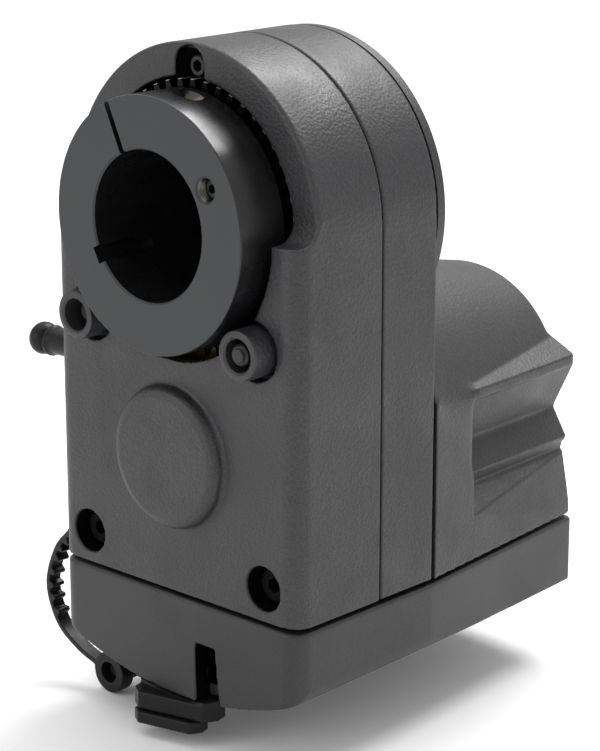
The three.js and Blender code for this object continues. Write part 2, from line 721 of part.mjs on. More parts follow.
function retainingGroove() {
  return ringY(HUB_R - 1.1, HUB_R + 1, 24.6, 26.4, 0, 0, 28);
}

// ---------- motor ----------
const GEARBOX_R = 12;
const GEARBOX_NOSE_R = 6.5;
const GEARBOX_FRONT_Y = 24.6;
const GEARBOX_BACK_Y = 45;
const MOTOR_BACK_Y = 71;

function gearbox() {
  const body = turned(
    [[SHAFT_R + GAP, 22.5], [GEARBOX_NOSE_R, 22.5], [GEARBOX_NOSE_R, GEARBOX_FRONT_Y], [GEARBOX_R, GEARBOX_FRONT_Y],
      [GEARBOX_R, GEARBOX_BACK_Y], [0, GEARBOX_BACK_Y], [0, SHAFT_BACK_Y + GAP], [SHAFT_R + GAP, SHAFT_BACK_Y + GAP],
      [SHAFT_R + GAP, 22.5]],
    0,
    MOTOR_Z,
    28,
  );
  return body;
}

function motorCan() {
  return turned(
    [[0, GEARBOX_BACK_Y + GAP], [GEARBOX_R - 0.8, GEARBOX_BACK_Y + GAP], [GEARBOX_R, GEARBOX_BACK_Y + 1.1],
      [GEARBOX_R, MOTOR_BACK_Y], [0, MOTOR_BACK_Y]],
    0,
    MOTOR_Z,
    28,
  );
}

function motorEndCap() {
  const cap = turned(
    [[0, MOTOR_BACK_Y + GAP], [GEARBOX_R - 1, MOTOR_BACK_Y + GAP], [GEARBOX_R - 1, 74], [4, 74], [4, 76], [0, 76]],
    0,
    MOTOR_Z,
    28,
  );
  return cap;
}

// ---------- electronics ----------
const BOARD_Z = -68.6;

function circuitBoard() {
  const board = box([-22, 40, BOARD_Z], [14, 67, BOARD_Z + 1.6]);
  return cut(board, standoffPlaces().map(([x, y]) => cylinderZ(1.2, BOARD_Z - 1, BOARD_Z + 3, x, y, 12)));
}

function standoffPlaces() {
  return [[-10, 43], [10, 43]];
}

// A post under the board: it stands on the base's floor and its pin passes through the board.
function standoff([x, y]) {
  const floor = BASE_LOW_Z + WALL + 3.6;
  return cylinderZ(2, floor, BOARD_Z - GAP, x, y, 14).add(cylinderZ(0.9, BOARD_Z - 1, BOARD_Z + 2.4, x, y, 12));
}

function wireRun(name) {
  const route = new THREE.CatmullRomCurve3([
    new THREE.Vector3(8, 75, MOTOR_Z),
    new THREE.Vector3(8, 77, MOTOR_Z - 4),
    new THREE.Vector3(8, 77, -58),
    new THREE.Vector3(8, 72, -63),
    new THREE.Vector3(8, 66, -64),
    new THREE.Vector3(8, 63.6, -66.1),
  ]);
  const section = new THREE.Shape();
  section.absarc(0, 0, 1.1, 0, 2 * Math.PI, false);
  const geometry = new THREE.ExtrudeGeometry(section, { steps: 16, curveSegments: 4, extrudePath: route });
  return part(name, solid(geometry), JACK_BLACK);
}

// ---------- fasteners ----------
// A mounting screw along Y: threaded tip at the front, socket head at the back, free to slide in the housing.
function mountScrew(tipY, x, z) {
  const headFront = 30.4;
  const screw = turned(
    [[0, tipY], [MOUNT_SCREW_R - 0.5, tipY], [MOUNT_SCREW_R, tipY + 0.6], [MOUNT_SCREW_R, headFront],
      [MOUNT_HEAD_R, headFront], [MOUNT_HEAD_R, headFront + 3.8], [0, headFront + 3.8]],
    x,
    z,
    18,
  );
  const socket = cylinderY(1.5, headFront + 1.6, headFront + 5, x, z, 6);
  const tipSocket = cylinderY(1, tipY - 1, tipY + 1.4, x, z, 6);
  return cut(screw, [socket, tipSocket]);
}

function screwSleeve(x, z) {
  return turned(
    [[SLEEVE_BORE_R, SLEEVE_FRONT_Y], [SLEEVE_R - 0.4, SLEEVE_FRONT_Y], [SLEEVE_R, SLEEVE_FRONT_Y + 0.4],
      [SLEEVE_R, 5.4], [SLEEVE_BORE_R, 5.4], [SLEEVE_BORE_R, SLEEVE_FRONT_Y]],
    x,
    z,
    28,
  );
}

function caseScrew(x, z) {
  const screw = turned(
    [[0, 2.6], [2.8, 2.6], [3.2, 3.2], [3.2, CASE_SCREW_SEAT_Y - GAP], [1.4, CASE_SCREW_SEAT_Y - GAP], [1.4, 30],
      [0, 30]],
    x,
    z,
    18,
  );
  return screw.subtract(cylinderY(1.4, 2, 4.4, x, z, 6));
}

// The seat of a base screw's head, just inside the curved underside.
function baseSeatZ(x, y) {
  const arcRise = BASE_ARC_R - Math.sqrt(BASE_ARC_R ** 2 - x ** 2);
  return BASE_LOW_Z + arcRise + (BASE_RISE * y) / BASE_END_Y + 1;
}

function baseScrew(x, y) {
  const seat = baseSeatZ(x, y);
  const head = cylinderZ(2.8, seat - 1.7, seat - GAP, x, y, 18);
  const shank = cylinderZ(1.4, seat - 1, -60.5, x, y, 14);
  const socket = cylinderZ(1.2, seat - 3, seat - 1, x, y, 6);
  return head.add(shank).subtract(socket);
}

// ---------- strap, post and block ----------
function strapPost() {
  const wall = HALF_WIDTH + GAP;
  return turnedX(
    [[0, -42.3], [1.2, -42.1], [2.1, -41.6], [2.8, -40.8], [3.05, -39.9], [2.9, -39], [2.5, -38.6], [2.85, -38.2],
      [2.85, -37.4], [2.4, -36.7], [2.4, -wall], [0, -wall]],
    POST_Y,
    POST_Z,
    18,
  );
}

const STRAP_FRONT_Y = 6;
const STRAP_WIDTH = 2.8;
const STRAP_THICK = 1;
const EYE_X = -24.3;
const EYE_Z = -90.4;
const EYE_R = 3.9;
const EYE_HOLE_R = 2;
const HOOK_R = 1.4;

// The strap's middle line, from its tab on the side wall, out in a bow and down to the eyelet.
function strapCurve() {
  const points = [[-30.65, -54], [-30.75, -59], [-33.9, -64.4], [-38.3, -69.4], [-40.9, -77], [-38.4, -83.9],
    [-33.2, -87.6], [-27.4, -89.6]];
  return new THREE.CatmullRomCurve3(points.map(([x, z]) => new THREE.Vector3(x, 0, z)));
}

// The point on the strap's middle line at part t, and the unit vector from there towards the housing.
function strapFrame(curve, t) {
  const point = curve.getPointAt(t);
  const along = curve.getTangentAt(t);
  return { point, along, inward: new THREE.Vector3(-along.z, 0, along.x) };
}

function strapBand(curve) {
  const steps = 26;
  const frames = Array.from({ length: steps + 1 }, (_, i) => strapFrame(curve, i / steps));
  const side = (sign) =>
    frames.map(({ point, inward }) => point.clone().addScaledVector(inward, (sign * STRAP_THICK) / 2));
  const outline = [...side(1), ...side(-1).reverse()];
  return polygonY(outline.map(({ x, z }) => [x, z]), STRAP_FRONT_Y, STRAP_FRONT_Y + STRAP_WIDTH);
}

function polygonY(points, front, back) {
  const shape = new THREE.Shape();
  points.forEach(([x, z], i) => (i === 0 ? shape.moveTo(x, z) : shape.lineTo(x, z)));
  shape.closePath();
  return prismY(shape, front, back);
}

const STRAP_TEETH = 9;

function strapTooth(curve, t) {
  const { point, along, inward } = strapFrame(curve, t);
  const corner = (run, rise) => {
    const place = point.clone().addScaledVector(along, run).addScaledVector(inward, rise);
    return [place.x, place.z];
  };
  const root = STRAP_THICK / 2 - 0.2;
  const tip = STRAP_THICK / 2 + 1.1;
  return polygonY(
    [corner(-0.85, root), corner(0.85, root), corner(0.4, tip), corner(-0.4, tip)],
    STRAP_FRONT_Y,
    STRAP_FRONT_Y + STRAP_WIDTH,
  );
}

function cableStrap() {
  const curve = strapCurve();
  const first = 0.25;
  const last = 0.68;
  const teeth = Array.from({ length: STRAP_TEETH }, (_, i) =>
    strapTooth(curve, first + ((last - first) * i) / (STRAP_TEETH - 1)),
  );
  const eye = ringY(EYE_HOLE_R, EYE_R, STRAP_FRONT_Y, STRAP_FRONT_Y + STRAP_WIDTH, EYE_X, EYE_Z, 28);
  const whole = join([strapBand(curve), ...teeth, eye]);
  return cut(whole, [cylinderY(EYE_HOLE_R, 0, 20, EYE_X, EYE_Z, 28)]);
}

const BLOCK_TURN = 14; // degrees that the strap's block is turned about the upright
const BLOCK_X = 1.75;
const BLOCK_Y = -1;
const BLOCK_LOW_Z = -89.4;
const BLOCK_TOP_Z = -86.2;
const NECK_HALF = 3.5; // the neck that plugs into the base's floor
const NECK_Y = 8;
const NECK_TOP_Z = -81;

function blockPlan(left, right, front, back, chamfer) {
  const shape = new THREE.Shape();
  shape.moveTo(left + chamfer, front);
  shape.lineTo(right - chamfer, front);
  shape.lineTo(right, front + chamfer);
  shape.lineTo(right, back - chamfer);
  shape.lineTo(right - chamfer, back);
  shape.lineTo(left + chamfer, back);
  shape.lineTo(left, back - chamfer);
  shape.lineTo(left, front + chamfer);
  shape.closePath();
  return shape;
}

function placeBlock(manifold) {
  return manifold.rotate([0, 0, BLOCK_TURN]).translate([BLOCK_X, BLOCK_Y, 0]);
}

// The moulded block under the base that holds the strap, with an arm and a hook through the eyelet.
function strapBlock() {
  const plan = blockPlan(-10.5, 7, 0, 6.5, 2);
  const block = placeBlock(prismZ(plan, BLOCK_LOW_Z, BLOCK_TOP_Z));
  const crown = placeBlock(prismZ(plan, BLOCK_LOW_Z, BLOCK_TOP_Z + 3)).intersect(box([-30, 0.3, -99], [30, 30, 0]));
  const neck = box([-NECK_HALF, NECK_Y - NECK_HALF, BLOCK_LOW_Z], [NECK_HALF, NECK_Y + NECK_HALF, NECK_TOP_Z]);
  const arm = box([EYE_X + 2, STRAP_FRONT_Y + STRAP_WIDTH + GAP, -90.9], [-2, STRAP_FRONT_Y + STRAP_WIDTH + 3, -88]);
  const elbow = cylinderY(2.6, STRAP_FRONT_Y + STRAP_WIDTH + GAP, STRAP_FRONT_Y + STRAP_WIDTH + 3, EYE_X, EYE_Z, 24);
  const hook = cylinderY(HOOK_R, STRAP_FRONT_Y - 0.8, STRAP_FRONT_Y + STRAP_WIDTH + 1, EYE_X, EYE_Z, 20);
  return cut(join([block, crown, arm, elbow, hook]), [baseVolume(-GAP)]).add(neck);
}

function strapBlockPlate() {
  return placeBlock(prismZ(blockPlan(-9.8, 4.3, -0.8, 4.5, 1.6), BLOCK_LOW_Z - 2.4, BLOCK_LOW_Z - GAP));
}

const scene = new THREE.Group();
scene.add(
  part("front_housing", frontHousing(), CASTING),
  part("middle_housing", middleHousing(), CASTING),
  part("motor_housing", motorHousing(), CASTING),
  part("back_cover", backCover(), CASTING),
  part("base_shell", baseShell(), PLASTIC),
  part("drive_collar", driveCollar().subtract(retainingGroove()), COLLAR_BLACK),
  part("ring_gear", ringGear(), STEEL),
  part("pinion_gear", pinionGear(), BRASS),
  part("pinion_shaft", pinionShaft(), STEEL),
  part("pinion_hub_screw", pinionScrew(), BLACK_STEEL),
  part("collar_clamp_screw", clampScrew(), BLACK_STEEL),
  part("collar_face_screw", faceSetScrew(), BLACK_STEEL),
  part("collar_bushing", collarBushing(), BRONZE),
  part("thrust_washer", thrustWasher(), BRONZE),
  part("collar_retaining_ring", retainingRing(), STEEL),
  part("shaft_bearing", shaftBearing(), BRONZE),
  part("gearbox", gearbox(), STEEL),
  part("motor_can", motorCan(), STEEL),
  part("motor_end_cap", motorEndCap(), JACK_BLACK),
  part("circuit_board", circuitBoard(), BOARD_GREEN),
  ...jackPlaces().map((place) => part(place.name, jack(place), JACK_BLACK)),
  wireRun("motor_wires"),
  part("upper_mount_screw", mountScrew(7.2, 0, TOP_SCREW_Z), BLACK_STEEL),
  part("left_mount_screw", mountScrew(-1.4, -SLEEVE_X, SLEEVE_Z), BLACK_STEEL),
  part("right_mount_screw", mountScrew(-3.9, SLEEVE_X, SLEEVE_Z), BLACK_STEEL),
  part("left_screw_sleeve", screwSleeve(-SLEEVE_X, SLEEVE_Z), CASTING),
  part("right_screw_sleeve", screwSleeve(SLEEVE_X, SLEEVE_Z), CASTING),
  part("left_case_screw", caseScrew(-CASE_SCREW_X, CASE_SCREW_Z), BLACK_STEEL),
  part("right_case_screw", caseScrew(CASE_SCREW_X, CASE_SCREW_Z), BLACK_STEEL),
  part("left_base_screw", baseScrew(...baseScrewPlaces()[0]), BLACK_STEEL),
  part("right_base_screw", baseScrew(...baseScrewPlaces()[1]), BLACK_STEEL),
  part("strap_post", strapPost(), BLACK_STEEL),
  part("cable_strap", cableStrap(), RUBBER),
  part("strap_block", strapBlock(), RUBBER),
  part("strap_block_plate", strapBlockPlate(), RUBBER),
  ...standoffPlaces().map((place, i) => part(`board_standoff_${i + 1}`, standoff(place), STEEL)),
);

export default scene;
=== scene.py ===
import json
import math

import bmesh
import bpy
from mathutils import Matrix, Vector


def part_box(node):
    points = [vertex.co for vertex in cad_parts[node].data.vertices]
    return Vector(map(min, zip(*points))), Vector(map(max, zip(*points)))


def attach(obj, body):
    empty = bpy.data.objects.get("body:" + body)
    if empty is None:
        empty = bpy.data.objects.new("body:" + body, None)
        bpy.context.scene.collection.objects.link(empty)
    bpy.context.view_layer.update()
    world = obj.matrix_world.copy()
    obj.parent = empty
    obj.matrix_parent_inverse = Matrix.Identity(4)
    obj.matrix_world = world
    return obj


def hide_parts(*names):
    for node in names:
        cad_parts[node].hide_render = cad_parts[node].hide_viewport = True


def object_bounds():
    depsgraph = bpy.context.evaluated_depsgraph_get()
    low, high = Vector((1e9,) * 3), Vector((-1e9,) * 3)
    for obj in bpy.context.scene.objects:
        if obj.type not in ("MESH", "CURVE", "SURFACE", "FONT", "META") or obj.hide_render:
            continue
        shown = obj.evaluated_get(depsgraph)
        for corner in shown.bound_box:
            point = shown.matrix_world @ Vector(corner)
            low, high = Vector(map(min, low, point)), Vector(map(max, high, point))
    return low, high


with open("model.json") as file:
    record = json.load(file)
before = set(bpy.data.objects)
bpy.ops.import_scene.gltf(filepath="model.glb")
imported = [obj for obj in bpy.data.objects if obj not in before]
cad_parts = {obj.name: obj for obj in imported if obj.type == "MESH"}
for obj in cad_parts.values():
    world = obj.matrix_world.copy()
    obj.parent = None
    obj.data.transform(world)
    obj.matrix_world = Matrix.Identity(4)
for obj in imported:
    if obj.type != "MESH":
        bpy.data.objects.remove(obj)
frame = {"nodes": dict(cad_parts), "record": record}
cad_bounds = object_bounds()

MM = 0.001
AXIS_X = Vector((1, 0, 0))


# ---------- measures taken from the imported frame, in millimetres ----------
def low_of(node):
    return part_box(node)[0] / MM


def high_of(node):
    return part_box(node)[1] / MM


HALF = high_of("middle_housing").x
FRONT_BACK_Y = high_of("front_housing").y
HOUSING_LOW_Z = low_of("front_housing").z
MIDDLE_FRONT_Y = low_of("middle_housing").y
MIDDLE_BACK_Y = high_of("middle_housing").y
MOTOR_FRONT_Y = low_of("motor_housing").y
MOTOR_BACK_Y = high_of("motor_housing").y
BASE_TOP_Z = high_of("base_shell").z
BASE_LOW_Z = low_of("base_shell").z
BASE_BACK_Y = high_of("base_shell").y
COVER_FRONT_Y = low_of("back_cover").y
COVER_BACK_Y = high_of("back_cover").y
COLLAR_R = high_of("drive_collar").z
COLLAR_FRONT_Y = low_of("drive_collar").y
COLLAR_BACK_Y = high_of("drive_collar").y
GEAR_FRONT_Y = low_of("ring_gear").y
SHAFT_Z = (low_of("pinion_shaft").z + high_of("pinion_shaft").z) / 2
BOSS_FRONT_Y = low_of("front_housing").y

# ---------- measures of the outlines, in millimetres ----------
WALL = 2.5
ARCH_Y = 5.3
SHOULDER_Z = -0.5
EDGE_R = 3.5
OPENING_R = 24.0
BORE_R = 13.0
BOSS_R = 12.6
COUNTERBORE_R = 4.0
COUNTERBORE_FLOOR_Y = 6.0
NOTCH_HALF = 3.5
RIM_CHAMFER = 0.5
SCREW_NOTCH_TOP = 0.2
DOME_FRONT_R = 29.8
DOME_BACK_R = 21.3
DOME_WIDEN = 1.03
DOME_DROP = 0.6
REAR_CORNER_R = 1.2
TAPER = 0.1
SCOOP_FRONT_Y = 47.8
SCOOP_TAPER = 0.05
SHOULDER_SLOPE = math.radians(25.7)
SHOULDER_TILT = math.radians(4.1)
BASE_ARC_R = 74.0
BASE_RISE = 1.7
FLOOR_GAP = 0.2
FLOOR_REACH = 6.0  # metres
PAST = 1.0  # how far a cutter reaches past the face that it opens
SLEEVE_POCKET_R = 5.2
SLEEVE_POCKET_BACK_Y = 2.6
SLEEVE_SEAT_R = 4.3
SLEEVE_SEAT_BACK_Y = 6.0
SLEEVE_WEB_R = 6.2
CASE_POST_R = 5.4
CASE_SCREW_WAY_R = 1.8
UPPER_SCREW_WAY_R = 2.3
BEARING_SEAT_R = 8.3
BUSHING_SEAT_R = 20.7
GEARBOX_SEAT_R = 6.8
SCREW_HEAD_WAY_R = 3.1
WEB_THICKNESS = 2.2
WEB_LAP = 1.4
CREST_X = 15.0
CREST_MEASURE = (19.64, -31.9)
SHOULDER_REACH_X = 34.0
FACET_START = (28.57, -58.1)
FACET_LOW = (25.2, -66.3)
FACET_HIGH = (23.1, -55.5)
LOW_HOLLOW_HALF = 18
LOW_HOLLOW_TOP_Z = -45
SCOOP_WALL_X = 18.2
SCOOP_WALL_TOP_Z = -34
COVER_GAP = 0.12
COVER_RIM_R = 0.6
M4_PITCH = 0.7
M4_SHANK_R = 1.9
M3_PITCH = 0.5
SLEEVE_BORE_R = 2.9
# Radius beyond which the gear's tooth tips get painted glints.
GEAR_GLINT_R = 23.47


def centre_of(node):
    low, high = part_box(node)
    return (low + high) / 2 / MM


# ---------- outlines ----------
def arc(x, z, radius, start, end, steps):
    angles = [math.radians(start + (end - start) * i / steps) for i in range(steps + 1)]
    return [(x + radius * math.cos(a), z + radius * math.sin(a)) for a in angles]


def rounded(points, radii, steps=8):
    """A closed outline with each corner turned by its own radius; a radius of 0 keeps the corner sharp."""
    outline = []
    count = len(points)
    for i, (corner, radius) in enumerate(zip(points, radii)):
        here = Vector(corner)
        before = (Vector(points[i - 1]) - here).normalized()
        after = (Vector(points[(i + 1) % count]) - here).normalized()
        if radius == 0:
            outline.append(tuple(here))
            continue
        half_angle = before.angle(after) / 2
        reach = radius / math.tan(half_angle)
        centre = here + (before + after).normalized() * (radius / math.sin(half_angle))
        first = here + before * reach - centre
        last = here + after * reach - centre
        for k in range(steps + 1):
            outline.append(tuple(centre + first.slerp(last, k / steps)))
    return outline


def arch_outline(half, bottom, steps=96):
    return [(-half, bottom), (half, bottom)] + arc(0, 0, half, 0, 180, steps)


# ---------- meshes ----------
def new_object(name, bm):
    bmesh.ops.remove_doubles(bm, verts=bm.verts, dist=1e-5)
    bmesh.ops.recalc_face_normals(bm, faces=bm.faces)
    mesh = bpy.data.meshes.new(name)
    bm.to_mesh(mesh)
    bm.free()
    mesh.transform(Matrix.Scale(MM, 4))
    obj = bpy.data.objects.new(name, mesh)
    bpy.context.scene.collection.objects.link(obj)
    return obj


def prism(name, outline, low, high, axis="Y"):
    """A prism along Y with its outline in X and Z, along Z with it in X and Y, or along X with it in Y, Z."""
    place = {
        "Y": lambda u, v, w: (u, w, v),
        "Z": lambda u, v, w: (u, v, w),
        "X": lambda u, v, w: (w, u, v),
    }[axis]
    bm = bmesh.new()
    rings = [[bm.verts.new(place(u, v, w)) for u, v in outline] for w in (low, high)]
    bm.faces.new(rings[0])
    bm.faces.new(list(reversed(rings[1])))
    count = len(outline)
    for i in range(count):
        k = (i + 1) % count
        bm.faces.new((rings[0][i], rings[1][i], rings[1][k], rings[0][k]))
    return new_object(name, bm)


def chamfered_prism(name, outline, inner, low, high, chamfer, axis="Y"):
    """A prism whose outer edge is chamfered at its low end, down to the inner outline."""
    place = {"Y": lambda u, v, w: (u, w, v), "Z": lambda u, v, w: (u, v, w)}[axis]
    bm = bmesh.new()
    levels = ((inner, low), (outline, low + chamfer), (outline, high))
    rings = [[bm.verts.new(place(u, v, w)) for u, v in points] for points, w in levels]
    bm.faces.new(rings[0])
    bm.faces.new(list(reversed(rings[-1])))
    for lower, upper in zip(rings, rings[1:]):
        for i in range(len(outline)):
            k = (i + 1) % len(outline)
            bm.faces.new((lower[i], upper[i], upper[k], lower[k]))
    return new_object(name, bm)


def block(name, low, high):
    outline = [(low[0], low[2]), (high[0], low[2]), (high[0], high[2]), (low[0], high[2])]
    return prism(name, outline, low[1], high[1])


def turned(name, profile, x=0.0, z=0.0, steps=96, axis="Y"):
    """A solid turned about an axis along Y (or X) from points of (radius, distance along the axis)."""
    bm = bmesh.new()
    rings = []
    closed = profile[0] == profile[-1]
    points = profile[:-1] if closed else profile
    for radius, along in points:
        if radius == 0:
            rings.append([bm.verts.new((0, along, 0))])
            continue
        angles = [2 * math.pi * i / steps for i in range(steps)]
        rings.append([bm.verts.new((radius * math.cos(a), along, radius * math.sin(a))) for a in angles])
    pairs = list(zip(rings, rings[1:] + rings[:1])) if closed else list(zip(rings, rings[1:]))
    for first, second in pairs:
        for i in range(steps):
            k = (i + 1) % steps
            if len(first) == 1:
                bm.faces.new((first[0], second[i], second[k]))
            elif len(second) == 1:
                bm.faces.new((first[i], first[k], second[0]))
            else:
                bm.faces.new((first[i], first[k], second[k], second[i]))
    if axis == "X":
        bmesh.ops.rotate(bm, verts=bm.verts, matrix=Matrix.Rotation(math.radians(-90), 3, "Z"))
    bmesh.ops.translate(bm, verts=bm.verts, vec=(x, 0, z))
    return new_object(name, bm)


def cylinder(name, radius, front, back, x=0.0, z=0.0, steps=64):
    return turned(name, [(0, front), (radius, front), (radius, back), (0, back)], x, z, steps)


def upright(name, radius, low, high, x, y, steps=48):
    return prism(name, arc(x, y, radius, 0, 360 - 360 / steps, steps - 1), low, high, "Z")


def bake(obj):
    """Applies the object's modifiers to its mesh."""
    graph = bpy.context.evaluated_depsgraph_get()
    mesh = bpy.data.meshes.new_from_object(obj.evaluated_get(graph))
    old = obj.data
    obj.modifiers.clear()
    obj.data = mesh
    bpy.data.meshes.remove(old)
    return obj


def boolean(body, tools, operation):
    for tool in tools:
        step = body.modifiers.new(operation.lower(), "BOOLEAN")
        step.operation = operation
        step.solver = "EXACT"
        step.object = tool
    bake(body)
    for tool in tools:
        mesh = tool.data
        bpy.data.objects.remove(tool)
        bpy.data.meshes.remove(mesh)
    return body


def join(body, tools):
    return boolean(body, tools, "UNION")


def cut(body, tools):
    return boolean(body, tools, "DIFFERENCE")


def keep_inside(body, tools):
    return boolean(body, tools, "INTERSECT")


def soften(obj, voxel, smoothing, faces, blend=None, blend_steps=0):
    """Rounds every edge a little, as on a casting, and melts away those where blend(point in mm) is high."""
    size = voxel * 1
    remesh = obj.modifiers.new("fine", "REMESH")
    remesh.mode = "VOXEL"
    remesh.voxel_size = size * MM
    smooth = obj.modifiers.new("soft", "SMOOTH")
    smooth.factor = 0.5
    smooth.iterations = max(1, smoothing // (1))
    bake(obj)
    if blend:
        group = obj.vertex_groups.new(name="blend")
        for vertex in obj.data.vertices:
            weight = blend(vertex.co / MM)
            if weight > 0:
                group.add([vertex.index], min(1.0, weight), "REPLACE")
        melt = obj.modifiers.new("melt", "SMOOTH")
        melt.factor = 0.5
        melt.iterations = blend_steps // 1
        melt.vertex_group = group.name
        bake(obj)
        obj.vertex_groups.clear()
    count = len(obj.data.polygons) * 2
    if count > faces:
        fewer = obj.modifiers.new("fewer", "DECIMATE")
        fewer.ratio = faces / count
        bake(obj)
    shade(obj)
    return obj


def shade(obj, angle=None):
    """Smooth shading with weighted normals; edges over the angle in degrees stay sharp."""
    obj.data.polygons.foreach_set("use_smooth", [True] * len(obj.data.polygons))
    if angle is not None:
        obj.data.set_sharp_from_angle(angle=math.radians(angle))
    weighted = obj.modifiers.new("even", "WEIGHTED_NORMAL")
    weighted.keep_sharp = True
    weighted.weight = 60
    return obj


def finished(obj, material, body, slot, *nodes):
    obj.data.materials.clear()
    obj.data.materials.append(material)
    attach(obj, body)
    if nodes:
        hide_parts(*nodes)
    return obj


# ---------- materials ----------
def shader(name, colour, roughness, metallic=0.0, specular=0.5):
    material = bpy.data.materials.new(name)
    material.use_nodes = True
    nodes = material.node_tree.nodes
    principled = nodes["Principled BSDF"]
    principled.inputs["Base Color"].default_value = (*colour, 1)
    principled.inputs["Roughness"].default_value = roughness
    principled.inputs["Metallic"].default_value = metallic
    principled.inputs["Specular IOR Level"].default_value = specular
    return material, nodes, material.node_tree.links, principled


def position(nodes):
    return nodes.new("ShaderNodeTexCoord").outputs["Object"]


def noise(nodes, links, where, scale, detail=3.0, roughness=0.55):
    texture = nodes.new("ShaderNodeTexNoise")
    texture.inputs["Scale"].default_value = scale
    texture.inputs["Detail"].default_value = detail
    texture.inputs["Roughness"].default_value = roughness
    links.new(where, texture.inputs["Vector"])
    return texture.outputs["Fac"]


def cells(nodes, links, where, scale, smoothness=0.6):
    texture = nodes.new("ShaderNodeTexVoronoi")
    texture.feature = "SMOOTH_F1"
    texture.inputs["Scale"].default_value = scale
    texture.inputs["Smoothness"].default_value = smoothness
    links.new(where, texture.inputs["Vector"])
    return texture.outputs["Distance"]


def remap(nodes, links, value, low, high, from_low=0.0, from_high=1.0):
    node = nodes.new("ShaderNodeMapRange")
    node.inputs["From Min"].default_value = from_low
    node.inputs["From Max"].default_value = from_high
    node.inputs["To Min"].default_value = low
    node.inputs["To Max"].default_value = high
    links.new(value, node.inputs["Value"])
    return node.outputs["Result"]


def blend_colour(nodes, links, factor, first, second):
    ramp = nodes.new("ShaderNodeValToRGB")
    ramp.color_ramp.elements[0].position = 0.35
    ramp.color_ramp.elements[1].position = 0.65
    ramp.color_ramp.elements[0].color = (*first, 1)
    ramp.color_ramp.elements[1].color = (*second, 1)
    links.new(factor, ramp.inputs["Fac"])
    return ramp.outputs["Color"]


def bump(nodes, links, height, depth, strength=1.0, under=None):
    node = nodes.new("ShaderNodeBump")
    node.inputs["Strength"].default_value = strength
    node.inputs["Distance"].default_value = depth * MM
    links.new(height, node.inputs["Height"])
    if under is not None:
        links.new(under, node.inputs["Normal"])
    return node.outputs["Normal"]


def powder_coat(name, colour, grain=3000.0, depth=0.11, rough=(0.4, 0.54), specular=0.5):
    """Fine orange-peel paint over a casting: rounded grains with a finer dust between them."""
    material, nodes, links, principled = shader(name, colour, 0.5, specular=specular)
    where = position(nodes)
    patches = noise(nodes, links, where, 90.0, 2.0)
    grains = noise(nodes, links, where, grain, 2.0, 0.5)
    pebbles = cells(nodes, links, where, grain * 0.55)
    lighter = [min(1.0, c * 1.5) for c in colour]
    darker = [c * 0.7 for c in colour]
    links.new(blend_colour(nodes, links, grains, darker, lighter), principled.inputs["Base Color"])
    links.new(remap(nodes, links, patches, *rough, 0.3, 0.7), principled.inputs["Roughness"])
    coarse = bump(nodes, links, pebbles, depth, 0.55)
    links.new(bump(nodes, links, grains, depth * 0.6, 0.6, coarse), principled.inputs["Normal"])
    return material


def moulded_plastic(name, colour, rough=(0.4, 0.5)):
    material, nodes, links, principled = shader(name, colour, 0.45)
    where = position(nodes)
    grain = noise(nodes, links, where, 2400.0, 2.0)
    patches = noise(nodes, links, where, 60.0, 3.0)
    lighter = [min(1.0, c * 1.3) for c in colour]
    darker = [c * 0.8 for c in colour]
    links.new(blend_colour(nodes, links, grain, darker, lighter), principled.inputs["Base Color"])
    links.new(remap(nodes, links, patches, *rough, 0.3, 0.7), principled.inputs["Roughness"])
    links.new(bump(nodes, links, grain, 0.07, 0.6), principled.inputs["Normal"])
    return material


def turned_metal(name, colour, roughness, metallic):
    """Metal off a lathe: faint rings round the part's Y axis, and a little unevenness in the finish."""
    material, nodes, links, principled = shader(name, colour, roughness, metallic)
    where = position(nodes)
    patches = noise(nodes, links, where, 150.0, 4.0)
    low = max(0.05, roughness - 0.07)
    links.new(remap(nodes, links, patches, low, roughness + 0.07, 0.3, 0.7), principled.inputs["Roughness"])
    stretched = nodes.new("ShaderNodeMapping")
    stretched.inputs["Scale"].default_value = (1, 6, 1)
    links.new(where, stretched.inputs["Vector"])
    streaks = noise(nodes, links, stretched.outputs["Vector"], 900.0, 2.0)
    darker = [c * 0.85 for c in colour]
    links.new(blend_colour(nodes, links, patches, darker, colour), principled.inputs["Base Color"])
    links.new(bump(nodes, links, streaks, 0.006, 0.5), principled.inputs["Normal"])
    return material


def rubber(name, colour):
    material, nodes, links, principled = shader(name, colour, 0.4, specular=0.22)
    where = position(nodes)
    grain = noise(nodes, links, where, 1500.0, 3.0)
    dust = noise(nodes, links, where, 320.0, 5.0, 0.7)
    lighter = [c * 1.8 for c in colour]
    links.new(blend_colour(nodes, links, dust, colour, lighter), principled.inputs["Base Color"])
    links.new(remap(nodes, links, dust, 0.3, 0.5, 0.3, 0.7), principled.inputs["Roughness"])
    links.new(bump(nodes, links, grain, 0.05, 0.4), principled.inputs["Normal"])
    return material


def gear_with_painted_glints(name, dark, glint_colour, tip_radius):
    """Blackened gear teeth with painted glints: beyond a radius about Y the tips are painted a bright metal
    colour that stands in for glints of light on them.
    """
    material, nodes, links, principled = shader(name, dark, 0.35, 0.8)
    where = position(nodes)
    split = nodes.new("ShaderNodeSeparateXYZ")
    links.new(where, split.inputs["Vector"])
    across = nodes.new("ShaderNodeCombineXYZ")
    links.new(split.outputs["X"], across.inputs["X"])
    links.new(split.outputs["Z"], across.inputs["Z"])
    length = nodes.new("ShaderNodeVectorMath")
    length.operation = "LENGTH"
    links.new(across.outputs["Vector"], length.inputs[0])
    edge = remap(nodes, links, length.outputs["Value"], 0, 1, (tip_radius - 0.1) * MM, tip_radius * MM)
    links.new(blend_colour(nodes, links, edge, dark, glint_colour), principled.inputs["Base Color"])
    patches = noise(nodes, links, where, 700.0, 3.0)
    links.new(remap(nodes, links, patches, 0.25, 0.45, 0.3, 0.7), principled.inputs["Roughness"])
    links.new(bump(nodes, links, patches, 0.01, 0.5), principled.inputs["Normal"])
    return material


